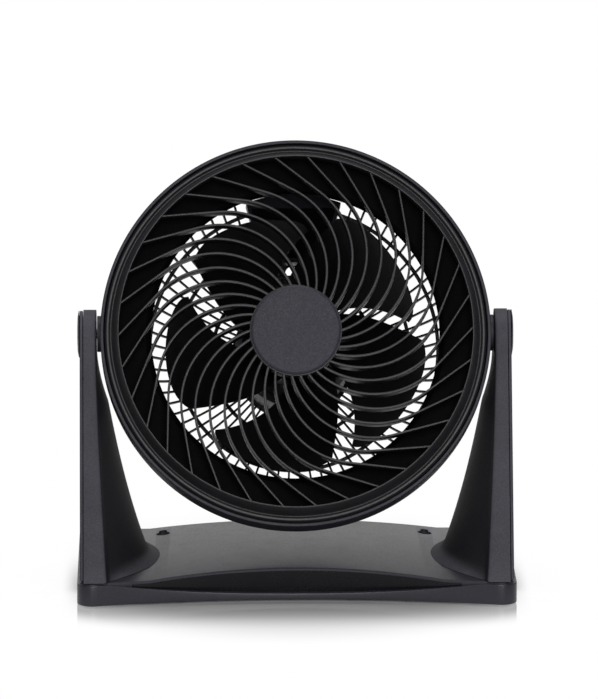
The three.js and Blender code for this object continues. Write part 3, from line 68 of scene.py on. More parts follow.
# The angles in degrees above which an edge stays sharp: as drawn, and once bevelled.
CREASE = 32.0
BEVEL_CREASE = 40.0


class Side(Enum):
    """The two sides of the fan, seen from the front."""

    LEFT = -1
    RIGHT = 1


class Body(Enum):
    """The moving bodies that pieces ride on."""

    STAND = "stand"
    HEAD = "head"
    IMPELLER = "impeller"
    KNOB = "knob"


# ---- meshes ----


def spin(degrees: float) -> Matrix:
    """A turn about Z."""
    return Matrix.Rotation(math.radians(degrees), 4, "Z")


def shift(x: float, y: float, z: float) -> Matrix:
    """A move."""
    return Matrix.Translation((x, y, z))


def across(side: Side) -> Matrix:
    """Turns a shape drawn along Z to point outwards along X."""
    return Matrix.Rotation(side.value * math.pi / 2, 4, "Y")


# Lays a shape that is drawn in the XY plane along Z so that its X is Y, its Y is Z and its Z is X.
SIDEWAYS = Matrix(((0, 0, 1, 0), (1, 0, 0, 0), (0, 1, 0, 0), (0, 0, 0, 1)))


@dataclass
class Shell:
    """A bag of points and faces, in millimetres until it becomes an object."""

    points: list[Vector] = field(default_factory=list)
    faces: list[tuple[int, ...]] = field(default_factory=list)

    def add(self, other: "Shell") -> "Shell":
        """Appends another shell's points and faces.

        Args:
            other: the shell to take in.

        Returns:
            This shell.
        """
        start = len(self.points)
        self.points.extend(point.copy() for point in other.points)
        self.faces.extend(tuple(i + start for i in face) for face in other.faces)
        return self

    def add_round(self, other: "Shell", angles: Iterable[float], radius: float = 0.0) -> "Shell":
        """Appends copies of a shell, each moved out and then turned about Z.

        Args:
            other: the shell to repeat.
            angles: a copy's angle in degrees, one by one.
            radius: how far out the copies' own axes stand.

        Returns:
            This shell.
        """
        for angle in angles:
            self.add(other.moved(spin(angle) @ shift(radius, 0, 0)))
        return self

    def moved(self, matrix: Matrix) -> "Shell":
        """Makes a copy placed by a matrix.

        Args:
            matrix: where it goes; one that mirrors also turns the faces back.

        Returns:
            The copy.
        """
        flip = matrix.determinant() < 0
        faces = [tuple(reversed(face)) if flip else face for face in self.faces]
        return Shell([matrix @ point for point in self.points], faces)

    def bent(self, rule: Callable[[Vector], Vector]) -> "Shell":
        """Returns a copy with every point passed through a rule."""
        return Shell([rule(point) for point in self.points], list(self.faces))

    def outward(self) -> "Shell":
        """Turns the faces so that the volume inside them is positive.

        Returns:
            This shell.
        """
        volume = 0.0
        for face in self.faces:
            first = self.points[face[0]]
            for i in range(1, len(face) - 1):
                volume += first.dot(self.points[face[i]].cross(self.points[face[i + 1]]))
        if volume < 0:
            self.faces = [tuple(reversed(face)) for face in self.faces]
        return self


def arc(start: float, end: float, steps: int) -> list[float]:
    """Angles in radians from start to end degrees."""
    return [math.radians(start + (end - start) * k / steps) for k in range(steps + 1)]


def polar(radius: float, angle: float) -> Point2:
    """The point at a radius and an angle in radians."""
    return radius * math.cos(angle), radius * math.sin(angle)


def bow(centre: Point2, radius: float, start: float, end: float, steps: int, rise: float | None = None) -> list[Point2]:
    """Points along an arc in degrees; rise is its radius along Y where that differs."""
    tall = radius if rise is None else rise
    return [(centre[0] + radius * math.cos(a), centre[1] + tall * math.sin(a)) for a in arc(start, end, steps)]


def rounded(outline: Sequence[Point2], radius: float, steps: int = 3, closed: bool = True) -> list[Point2]:
    """Rounds the corners of an outline.

    Args:
        outline: the corners in order.
        radius: the largest radius a corner takes; short sides take less.
        steps: how many chords replace a corner.
        closed: whether the last corner joins the first.

    Returns:
        The outline's points with its corners rounded.
    """
    count = len(outline)
    result: list[Point2] = []
    for i, corner in enumerate(outline):
        here = Vector(corner)
        before = Vector(outline[i - 1]) - here
        after = Vector(outline[(i + 1) % count]) - here
        is_end = not closed and i in (0, count - 1)
        if is_end or min(before.length, after.length) < TINY or before.angle(after) > FLAT_CORNER:
            result.append(corner)
            continue
        reach = min(radius / math.tan(before.angle(after) / 2), min(before.length, after.length) * CORNER_SHARE)
        start = here + before.normalized() * reach
        end = here + after.normalized() * reach
        for step in range(steps + 1):
            t = step / steps
            point = start.lerp(here, t).lerp(here.lerp(end, t), t)
            result.append((point.x, point.y))
    return result


def revolved(profile: Sequence[Point2], sides: int) -> Shell:
    """Turns a profile about the Z axis.

    Args:
        profile: [radius, along] points; one that starts on the axis also ends there, any other closes on itself.
        sides: how many steps go round.

    Returns:
        The turned shell.
    """
    shell = Shell()
    rings: list[list[int]] = []
    for radius, along in profile:
        start = len(shell.points)
        if radius < TINY:
            shell.points.append(Vector((0, 0, along)))
            rings.append([start] * sides)
        else:
            shell.points.extend(Vector((x, y, along)) for x, y in bow((0, 0), radius, 0, 360, sides)[:-1])
            rings.append(list(range(start, start + sides)))
    if profile[0][0] > TINY:
        rings.append(rings[0])
    for low, high in zip(rings, rings[1:]):
        for k in range(sides):
            after = (k + 1) % sides
            corners = tuple(dict.fromkeys((low[k], low[after], high[after], high[k])))
            if len(corners) > 2:
                shell.faces.append(corners)
    return shell.outward()


def turned(corners: Sequence[Point2], edge: float, sides: int, steps: int = 3) -> Shell:
    """Turns a profile about the Z axis after rounding its edges; it is given as to revolved."""
    return revolved(rounded(corners, edge, steps, corners[0][0] > 0), sides)


def lofted(sections: Sequence[Sequence[Vector]]) -> Shell:
    """Skins a stack of closed outlines and closes both ends.

    Args:
        sections: the outlines in order, all with the same number of points.

    Returns:
        The closed shell.
    """
    shell = Shell([point.copy() for section in sections for point in section])
    count = len(sections[0])
    last = (len(sections) - 1) * count
    for level in range(0, last, count):
        for i in range(count):
            a, b = level + i, level + (i + 1) % count
            shell.faces.append((a, b, b + count, a + count))
    shell.faces += [tuple(reversed(range(count))), tuple(range(last, last + count))]
    return shell.outward()


def prism(outline: Sequence[Point2], low: float, high: float) -> Shell:
    """Extrudes an outline in the XY plane from low to high Z."""
    return lofted([[Vector((x, y, z)) for x, y in outline] for z in (low, high)])


def block(low: Triple, high: Triple) -> Shell:
    """A plain box, used as a web, a rib or a cutter."""
    outline = [(low[0], low[1]), (high[0], low[1]), (high[0], high[1]), (low[0], high[1])]
    return prism(outline, low[2], high[2])


def rod(radius: float, low: float, high: float, sides: int = 32) -> Shell:
    """A round bar along Z, used as a boss or a drill."""
    return prism(bow((0, 0), radius, 0, 360, sides)[:-1], low, high)


def bar_section(width: float, depth: float, radius: float, steps: int = 3) -> list[Point2]:
    """The rounded rectangle that a moulded bar has in section."""
    w, d = width / 2, depth / 2
    return rounded([(-w, -d), (w, -d), (w, d), (-w, d)], radius, steps)


# The middle of the pivot line in metres, and the two frames that shapes are drawn in: on the floor under that
# line, and on the head's own axis with Y up and Z forward along the air stream.
PIVOT = Vector(next(joint for joint in frame["joints"] if joint["name"] == "head_tilt")["pos_m"])
FLOOR = shift(PIVOT.x, PIVOT.y, 0) @ Matrix.Scale(MM, 4)
LEAN = Matrix.Rotation(math.radians(90 - HEAD_TILT), 4, "X")
HEAD = Matrix.Translation(PIVOT) @ LEAN @ Matrix.Scale(MM, 4) @ shift(0, -AXIS_DROP, 0)


def to_object(name: str, shell: Shell, place: Matrix, crease: float = CREASE) -> bpy.types.Object:
    """Makes a Blender object from a shell.

    Args:
        name: the piece's name.
        shell: its points and faces.
        place: the frame that it was drawn in.
        crease: the angle in degrees above which an edge stays sharp.

    Returns:
        The linked object, with its place in its vertices.
    """
    mesh = bpy.data.meshes.new(name)
    moved = shell.moved(place)
    mesh.from_pydata([tuple(point) for point in moved.points], [], moved.faces)
    mesh.validate()
    made = bpy.data.objects.new(name, mesh)
    bpy.context.scene.collection.objects.link(made)
    smooth(made, crease)
    return made


def smooth(piece: bpy.types.Object, crease: float) -> None:
    """Shades a piece smooth.

    Args:
        piece: the object.
        crease: the angle in degrees above which an edge stays sharp.
    """
    piece.data.polygons.foreach_set("use_smooth", [True] * len(piece.data.polygons))
    piece.data.set_sharp_from_angle(angle=math.radians(crease))
    piece.data.update()


def apply(piece: bpy.types.Object) -> None:
    """Turns a piece's modifiers into its mesh.

    Args:
        piece: the object.
    """
    graph = bpy.context.evaluated_depsgraph_get()
    graph.update()
    baked = bpy.data.meshes.new_from_object(piece.evaluated_get(graph))
    old = piece.data
    piece.modifiers.clear()
    piece.data = baked
    bpy.data.meshes.remove(old)


def cut_with(piece: bpy.types.Object, cutters: Sequence[Shell], place: Matrix, crease: float = CREASE) -> None:
    """Cuts shells out of a piece with exact booleans and shades it again.

    Args:
        piece: the object.
        cutters: what is taken away.
        place: the frame that the cutters were drawn in.
        crease: the angle in degrees above which an edge stays sharp.
    """
    tools = []
    for i, cutter in enumerate(cutters):
        tool = to_object(f"cutter_{i}", cutter, place)
        step = piece.modifiers.new("cut", "BOOLEAN")
        step.operation = "DIFFERENCE"
        step.solver = "EXACT"
        step.object = tool
        tools.append(tool)
    apply(piece)
    for tool in tools:
        bpy.data.objects.remove(tool)
    smooth(piece, crease)


def bevelled(piece: bpy.types.Object, width: float, angle: float, segments: int = 3) -> bpy.types.Object:
    """Rounds a piece's sharp edges.

    Args:
        piece: the object.
        width: the bevel's width in millimetres.
        angle: the angle in degrees above which an edge counts as sharp.
        segments: how many strips replace an edge.

    Returns:
        The piece.
    """
    step = piece.modifiers.new("edge", "BEVEL")
    step.width = width * MM
    step.segments = segments
    step.limit_method = "ANGLE"
    step.angle_limit = math.radians(angle)
    step.use_clamp_overlap = True
    step.harden_normals = False
    apply(piece)
    smooth(piece, BEVEL_CREASE)
    return piece


# ---- shader maths ----


class Signal:
    """A shader socket that takes part in Python expressions."""

    def __init__(self, graph: "Graph", socket: bpy.types.NodeSocket) -> None:
        """Wraps an output socket of a graph."""
        self.graph = graph
        self.socket = socket

    def _math(self, operation: str, first: "Signal | float", second: "Signal | float") -> "Signal":
        """Adds a Math node."""
        return self.graph.out("ShaderNodeMath", 0, {"operation": operation}, {0: first, 1: second})

    def __add__(self, other: "Signal | float") -> "Signal":
        """Sum."""
        return self._math("ADD", self, other)

    def __radd__(self, other: float) -> "Signal":
        """Sum, number first."""
        return self._math("ADD", other, self)

    def __sub__(self, other: "Signal | float") -> "Signal":
        """Difference."""
        return self._math("SUBTRACT", self, other)

    def __rsub__(self, other: float) -> "Signal":
        """Difference, number first."""
        return self._math("SUBTRACT", other, self)

    def __mul__(self, other: "Signal | float") -> "Signal":
        """Product."""
        return self._math("MULTIPLY", self, other)

    def __rmul__(self, other: float) -> "Signal":
        """Product, number first."""
        return self._math("MULTIPLY", other, self)

    def __pow__(self, other: "Signal | float") -> "Signal":
        """Power."""
        return self._math("POWER", self, other)

    def __rpow__(self, other: float) -> "Signal":
        """Power, number first."""
        return self._math("POWER", other, self)

    def above(self, low: float, high: float) -> "Signal":
        """Makes a smooth step.

        Args:
            low: where it starts, at 0.
            high: where it ends, at 1.

        Returns:
            The step.
        """
        settings = {"interpolation_type": "SMOOTHSTEP", "clamp": True}
        inputs = {"Value": self, "From Min": low, "From Max": high}
        return self.graph.out("ShaderNodeMapRange", "Result", settings, inputs)


class Graph:
    """The node tree of one material or world."""

    def __init__(self, tree: bpy.types.NodeTree) -> None:
        """Empties the tree and starts afresh."""
        self.tree = tree
        tree.nodes.clear()

    def node(self, kind: str, settings: dict | None = None, inputs: dict | None = None) -> bpy.types.Node:
        """Adds a node.

        Args:
            kind: the node's type.
            settings: its own properties, set first; "stops" gives a ramp's stops.
            inputs: values or links of its sockets, by name or number.

        Returns:
            The node.
        """
        made = self.tree.nodes.new(kind)
        for key, value in (settings or {}).items():
            if key == "stops":
                self._set_stops(made.color_ramp, value)
            else:
                setattr(made, key, value)
        for key, value in (inputs or {}).items():
            if isinstance(value, Signal):
                self.tree.links.new(value.socket, made.inputs[key])
            else:
                made.inputs[key].default_value = value
        return made

    @staticmethod
    def _set_stops(ramp: bpy.types.ColorRamp, stops: Sequence[tuple[float, Colour]]) -> None:
        """Sets a colour ramp's stops.

        Args:
            ramp: the ramp.
            stops: each stop's position and colour.
        """
        while len(ramp.elements) < len(stops):
            ramp.elements.new(1.0)
        for element, (position, colour) in zip(ramp.elements, stops):
            element.position = position
            element.color = colour

    def out(self, kind: str, output: str | int, settings: dict | None = None, inputs: dict | None = None) -> Signal:
        """Adds a node and wraps one of its outputs."""
        return Signal(self, self.node(kind, settings, inputs).outputs[output])

    def mix(self, factor: Signal | float, first: Signal | Colour, second: Signal | Colour) -> Signal:
        """Mixes two colours."""
        return self.out("ShaderNodeMix", 2, {"data_type": "RGBA"}, {0: factor, 6: first, 7: second})

    def mix_shader(self, factor: Signal | float, first: Signal, second: Signal) -> Signal:
        """Mixes two shaders."""
        return self.out("ShaderNodeMixShader", 0, {}, {0: factor, 1: first, 2: second})

    def axis(self, vector: Signal, name: str) -> Signal:
        """One of a vector's numbers, by its axis."""
        return self.out("ShaderNodeSeparateXYZ", name, {}, {0: vector})

    def stretched(self, scale: Triple, turn: Triple = (0.0, 0.0, 0.0)) -> Signal:
        """The place on the piece, turned and scaled, for marks that run one way."""
        where = self.out("ShaderNodeTexCoord", "Object")
        return self.out("ShaderNodeMapping", 0, {}, {0: where, 2: turn, 3: scale})

    def noise(self, scale: float, detail: float = 3.0, roughness: float = 0.5, place: Signal | None = None) -> Signal:
        """Makes noise over the piece.

        Args:
            scale: its cells per metre.
            detail: how many finer layers it has.
            roughness: how strong these are.
            place: where it is looked up; the piece's own place if left out.

        Returns:
            A number from 0 to 1.
        """
        where = place or self.out("ShaderNodeTexCoord", "Object")
        inputs = {"Vector": where, "Scale": scale, "Detail": detail, "Roughness": roughness}
        return self.out("ShaderNodeTexNoise", "Fac", {}, inputs)

    def bump(self, height: Signal, strength: float, distance: float, normal: Signal | None = None) -> Signal:
        """Makes a bump.

        Args:
            height: what stands proud.
            strength: how much of it shows.
            distance: the height of 1, in metres.
            normal: an earlier bump that this one goes on.

        Returns:
            The bent normal.
        """
        inputs = {"Strength": strength, "Distance": distance, "Height": height}
        if normal is not None:
            inputs["Normal"] = normal
        return self.out("ShaderNodeBump", "Normal", {}, inputs)


def new_material(name: str) -> tuple[bpy.types.Material, Graph]:
    """Makes an empty material.

    Args:
        name: its name.

    Returns:
        The material and its graph.
    """
    material = bpy.data.materials.new(name)
    material.use_nodes = True
    return material, Graph(material.node_tree)


# ---- finishes ----


WHITE = (1.0, 1.0, 1.0, 1.0)
BLACK = (0.0, 0.0, 0.0, 1.0)
COOL = (1.06, 1.0, 1.36)
NEUTRAL = (1.0, 1.0, 1.0)
DUST_GREY = 120.0


def linear(grey: float, tint: Triple = COOL) -> Colour:
    """Turns a display grey into a linear colour, by the display's standard curve.

    Args:
        grey: from 0 to 255.
        tint: what the red, green and blue are multiplied by.

    Returns:
        The colour.
    """
    value = min(255.0, grey) / 255
    level = value / 12.92 if value <= 0.04045 else ((value + 0.055) / 1.055) ** 2.4
    return (level * tint[0], level * tint[1], level * tint[2], 1.0)


@dataclass(frozen=True)
class Finish:
    """What every finish on the fan has."""

    name: str

    def surface(self, graph: Graph) -> dict[str, Signal | Colour | float]:
        """The main shader's sockets, which each kind of finish gives itself."""
        raise NotImplementedError

    def build(self) -> bpy.types.Material:
        """Makes the material.

        Returns:
            The material.
        """
        material, graph = new_material(self.name)
        shader = graph.out("ShaderNodeBsdfPrincipled", 0, {}, self.surface(graph))
        graph.node("ShaderNodeOutputMaterial", {}, {"Surface": shader})
        return material


@dataclass(frozen=True)
class MouldedPlastic(Finish):
    """Injection moulded plastic with a fine grain, faint mould flow, a little handling wear and, where set, painted
    shade on faces turned sideways.
    """

    grey: float
    roughness: float = 0.5
    grain: float = 1400.0
    grain_depth: float = 0.00006
    grain_strength: float = 0.5
    mottle: float = 0.12
    flow_scale: float = 14.0
    cloud_scale: float = 55.0
    dust_scale: float = 120.0
    scuff_scale: float = 900.0
    patch_scale: float = 26.0
    flow_depth: float = 0.0008
    speckle: float = 0.2
    speck_tone: float = 1.7
    scuff_tone: float = 1.5
    dust: float = 0.04
    specular: float = 0.5
    # Painted shade: how far faces turned sideways, along X, are darkened towards black.
    side_shade: float = 0.0
    tint: Triple = COOL

    def shade(self, share: float) -> Colour:
        """The plastic's colour at a share of its grey."""
        return linear(self.grey * share, self.tint)

    def surface(self, graph: Graph) -> dict[str, Signal | Colour | float]:
        """Draws the mould flow, the grain with its specks, the scuffs, the dust and, where set, the painted shade on
        faces turned sideways.

        Args:
            graph: the material's graph.

        Returns:
            The main shader's sockets.
        """
        flow = graph.noise(self.flow_scale, 4.0, 0.55)
        cloud = graph.noise(self.cloud_scale, 3.0, 0.6)
        grain = graph.noise(self.grain, 2.0, 0.5)
        speck = graph.noise(self.grain * 0.45, 1.0, 0.4)
        scuff = self._scuffs(graph)
        facing = graph.out("ShaderNodeNewGeometry", "Normal")
        up, sideways = graph.axis(facing, "Z"), graph.axis(facing, "X")
        dust = up.above(0.35, 1.0) * graph.noise(self.dust_scale, 5.0, 0.7).above(0.45, 0.75)
        tone = (flow * 0.6 + cloud * 0.4).above(0.3, 0.7)
        colour = graph.mix(tone, self.shade(1 - self.mottle), self.shade(1 + self.mottle))
        colour = graph.mix(grain.above(0.35, 0.75) * self.speckle, colour, self.shade(self.speck_tone))
        colour = graph.mix(scuff * 0.3, colour, self.shade(self.scuff_tone))
        # Painted shade: faces turned sideways, along X, are darkened towards black.
        if self.side_shade:
            colour = graph.mix((sideways * sideways).above(0.25, 0.8) * self.side_shade, colour, BLACK)
        colour = graph.mix(dust * self.dust, colour, linear(DUST_GREY, NEUTRAL))
        rough = self.roughness + (tone - 0.5) * (self.mottle * 0.8) + (speck - 0.5) * 0.12
        rough = rough + scuff * 0.12 + dust * (self.dust * 2.0)
        normal = graph.bump(grain * 0.7 + speck * 0.5, self.grain_strength, self.grain_depth)
        normal = graph.bump(flow, self.mottle * 0.6, self.flow_depth, normal)
        return {"Base Color": colour, "Roughness": rough, "Normal": normal, "Specular IOR Level": self.specular}

    def _scuffs(self, graph: Graph) -> Signal:
        """Draws sparse fine rub marks, long in one direction.

        Args:
            graph: the material's graph.

        Returns:
            1 on a mark.
        """
        way = graph.stretched((1.0, 0.08, 1.0), (0.3, 0.9, 0.2))
        lines = graph.noise(self.scuff_scale, 2.0, 0.5, way).above(0.66, 0.74)
        return lines * graph.noise(self.patch_scale, 2.0, 0.5).above(0.55, 0.7)


@dataclass(frozen=True)
class SoftRubber(Finish):
    """Matt rubber of the feet and the cord gland."""

    grey: float = 34.0
    bloom_scale: float = 90.0
    grain: float = 2400.0
    grain_depth: float = 0.00005

    def surface(self, graph: Graph) -> dict[str, Signal | Colour | float]:
        """Draws the bloom and the fine grain.

        Args:
            graph: the material's graph.

        Returns:
            The main shader's sockets.
        """
        bloom = graph.noise(self.bloom_scale, 4.0, 0.6)
        grain = graph.noise(self.grain, 2.0)
        base = graph.mix(bloom.above(0.35, 0.7), linear(self.grey), linear(self.grey * 1.4, NEUTRAL))
        normal = graph.bump(grain + bloom * 0.5, 0.4, self.grain_depth)
        return {"Base Color": base, "Roughness": 0.82 + (grain - 0.5) * 0.2, "Normal": normal}


@dataclass(frozen=True)
class WorkedMetal(Finish):
    """Plated, stacked or sintered metal, by its colour and the marks on it."""

    colour: Colour
    roughness: float = 0.32
    mark_scale: float = 900.0
    mark_stretch: Triple = (1.0, 1.0, 1.0)
    mark_depth: float = 0.00003
    stain_scale: float = 160.0
    dull_share: float = 0.62

    def surface(self, graph: Graph) -> dict[str, Signal | Colour | float]:
        """Draws the marks of the work and a dull stain.

        Args:
            graph: the material's graph.

        Returns:
            The main shader's sockets.
        """
        marks = graph.noise(self.mark_scale, 3.0, 0.6, graph.stretched(self.mark_stretch))
        stain = graph.noise(self.stain_scale, 4.0, 0.6).above(0.4, 0.75)
        dull = tuple(c * self.dull_share for c in self.colour[:3]) + (1.0,)
        base = graph.mix(stain * 0.6 + marks * 0.2, self.colour, dull)
        rough = self.roughness + stain * 0.16 + (marks - 0.5) * 0.14
        normal = graph.bump(marks, 0.5, self.mark_depth)
        return {"Base Color": base, "Metallic": 1.0, "Roughness": rough, "Normal": normal}


class Look(Enum):
    """Every finish on the fan."""

    BODY = MouldedPlastic("charcoal_body", 44, specular=0.3)
    BASE = MouldedPlastic("charcoal_base", 48, roughness=0.37, mottle=0.03, dust=0.015, specular=0.36)
    # Painted light and shade: the arm's grey is set lighter than the body's so that its front strip comes out bright,
    # and its faces turned sideways (the inner faces and the covers' outer faces) are darkened as painted shade.
    ARM = MouldedPlastic(
        "charcoal_arm", 77, roughness=0.6, mottle=0.08, specular=0.06, side_shade=0.75, tint=(1.0, 1.0, 1.17)
    )
    GRILLE = MouldedPlastic(
        "grille_black", 47, roughness=0.42, grain_strength=0.2, mottle=0.06, speckle=0.0, specular=0.35,
        tint=(1.0, 1.0, 1.12),
    )
    CAP = MouldedPlastic(
        "hub_cap_grain", 50, roughness=0.55, grain=900.0, grain_strength=0.8, grain_depth=0.00012, speckle=0.4,
        specular=0.25,
    )
    # Painted shade: a near-black copy of the charcoal for the throat plate, which is moulded with the band, standing in
    # for the deep shade between the slats.
    THROAT = MouldedPlastic(
        "throat_black", 6, roughness=0.6, grain_strength=0.3, speckle=0.0, dust=0.003, specular=0.03
    )
    # Glossier than the base, and darker as painted shade for the shade under the deck's lip.
    GLOSS = MouldedPlastic(
        "recess_gloss", 20, roughness=0.26, grain_strength=0.15, speckle=0.0, dust=0.008, specular=0.3
    )
    INNER = MouldedPlastic(
        "inner_black", 9, roughness=0.45, grain_strength=0.3, speckle=0.0, dust=0.006, specular=0.25
    )
    RUBBER = SoftRubber("foot_rubber")
    ZINC = WorkedMetal("zinc_steel", (0.55, 0.56, 0.58, 1.0))
    CORE = WorkedMetal("stacked_core", (0.3, 0.31, 0.32, 1.0), 0.45, 1500.0, (0.05, 1.0, 1.0), 0.00008)
    COPPER = WorkedMetal("enamel_copper", (0.5, 0.19, 0.07, 1.0), 0.3, 1300.0, (1.0, 0.1, 0.1), 0.0002)
    BRONZE = WorkedMetal("oiled_bronze", (0.42, 0.28, 0.12, 1.0), 0.4, 2600.0)


# The finish of a CAD node that keeps its shape, by how its name begins; every other one is zinc.
NODE_LOOKS = {
    "winding": Look.COPPER, "bearing": Look.BRONZE, "stator": Look.CORE, "rotor": Look.CORE,
    "switch_cover": Look.INNER, "rotary": Look.INNER, "impeller_nut": Look.INNER,
}


class Bench:
    """Takes finished pieces: gives them their body and finish, and reports them."""

    def __init__(self) -> None:
        """Makes every material once."""
        self.materials = {look: look.value.build() for look in Look}
        self.count = 0

    def finish(self, piece: bpy.types.Object, look: Look) -> None:
        """Gives a piece one finish all over."""
        piece.data.materials.clear()
        piece.data.materials.append(self.materials[look])

    def put(self, piece: bpy.types.Object, body: Body, look: Look, slot: str, *nodes: str) -> None:
        """Dresses a piece.

        Args:
            piece: the finished object.
            body: what it rides on.
            look: its finish.
            slot: the record's material slot; not used.
            nodes: the CAD nodes that it stands for.
        """
        self.finish(piece, look)
        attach(piece, body.value)
        if nodes:
            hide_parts(*nodes)
        self.count += 1
        log.info("%s rides on %s for %s", piece.name, body.value, ", ".join(nodes) or "itself")

    def dress_cad_nodes(self) -> None:
        """Gives every CAD node that is still shown its finish."""
        for name, node in frame["nodes"].items():
            if not node.hide_render:
                self.finish(node, next((look for key, look in NODE_LOOKS.items() if name.startswith(key)), Look.ZINC))
                log.info("%s keeps its CAD shape", name)


# ---- head ----


@dataclass
class Housing:
    """The round band, the plate round the throat and what is moulded behind it."""

    radius: float = 123.6
    wall: float = 2.1
    band_front: float = 19.0
    band_rear: float = -12.0
    plate_front: float = 10.2
    plate_thickness: float = 2.2
    throat: float = 91.3
    lip_rear: float = 2.4
    pivot_bore: float = 3.3
    boss_radius: float = 11.5
    boss_height: float = 2.0
    nut_boss_radius: float = 9.2
    nut_boss_start: float = 108.0
    web_end: float = 111.0
    web_offset: float = 7.9

    def band(self) -> Shell:
        """The round band.

        Returns:
            The band as a shell.
        """
        inner, rear, low = self.radius - self.wall, self.band_rear, self.plate_front - 1
        corners = [
            (inner, low), (inner, self.band_front), (self.radius, self.band_front), (self.radius, rear + 6),
            (self.radius - 1.6, rear), (inner - 0.6, rear), (inner - 0.6, low),
        ]
        return turned(corners, MOULD_EDGE, RING_SIDES)

    def plate(self) -> Shell:
        """The plate behind the grille with the lip round the throat.

        Returns:
            The plate as a shell.
        """
        outer, throat = self.radius - self.wall + 0.2, self.throat
        front, rear, lip = self.plate_front, self.plate_front - self.plate_thickness, self.lip_rear
        corners = [
            (outer, front), (outer, rear), (throat + 3.6, rear), (throat + 3.0, lip), (throat + 1.0, lip),
            (throat, front - 3.5), (throat + 1.0, front - 1.0), (throat + 3.5, front),
        ]
        return turned(corners, MOULD_EDGE, RING_SIDES)

    def pivot(self, side: Side) -> Shell:
        """The boss outside the band, the nut's boss inside it and its two webs.

        Args:
            side: which side of the head.

        Returns:
            The bosses and webs as a shell.
        """
        r, bore, boss, face = self.radius, self.pivot_bore, self.boss_radius, self.radius + self.boss_height
        low, high = self.nut_boss_start, r - 1.2
        outer = [(0, r - 1.4), (boss, r - 1.4), (boss, face), (bore, face), (bore, r - 4), (0, r - 4)]
        inner = [(bore, low), (self.nut_boss_radius, low), (self.nut_boss_radius, high), (bore, high)]
        place = shift(0, AXIS_DROP, 0) @ across(side)
        shell = turned(outer, 0.3, 64, 2).moved(place).add(turned(inner, 0.3, 48, 2).moved(place))
        reach = sorted((side.value * (self.throat + 2), side.value * self.web_end))
        for up in (-1, 1):
            y = AXIS_DROP + up * self.web_offset
            shell.add(block((reach[0], y - 1, self.band_rear + 3), (reach[1], y + 1, self.plate_front - 1.5)))
        return shell

    def build(self, bench: Bench) -> None:
        """Makes the housing.

        Args:
            bench: takes the finished pieces.
        """
        # The plate round the throat takes the near-black finish as painted shade for the deep shade behind the slats.
        bench.put(to_object("throat_plate", self.plate(), HEAD), Body.HEAD, Look.THROAT, "charcoal_plastic")
        shell = self.band()
        for side in Side:
            shell.add(self.pivot(side))
        tower = turned([(2.0, -8.0), (4.6, -8.0), (4.6, 8.5), (2.0, 8.5)], 0.25, 32, 2)
        shell.add_round(tower, TOWER_ANGLES, TOWER_CIRCLE)
        bench.put(to_object("housing_shell", shell, HEAD), Body.HEAD, Look.BODY, "charcoal_plastic", "housing")


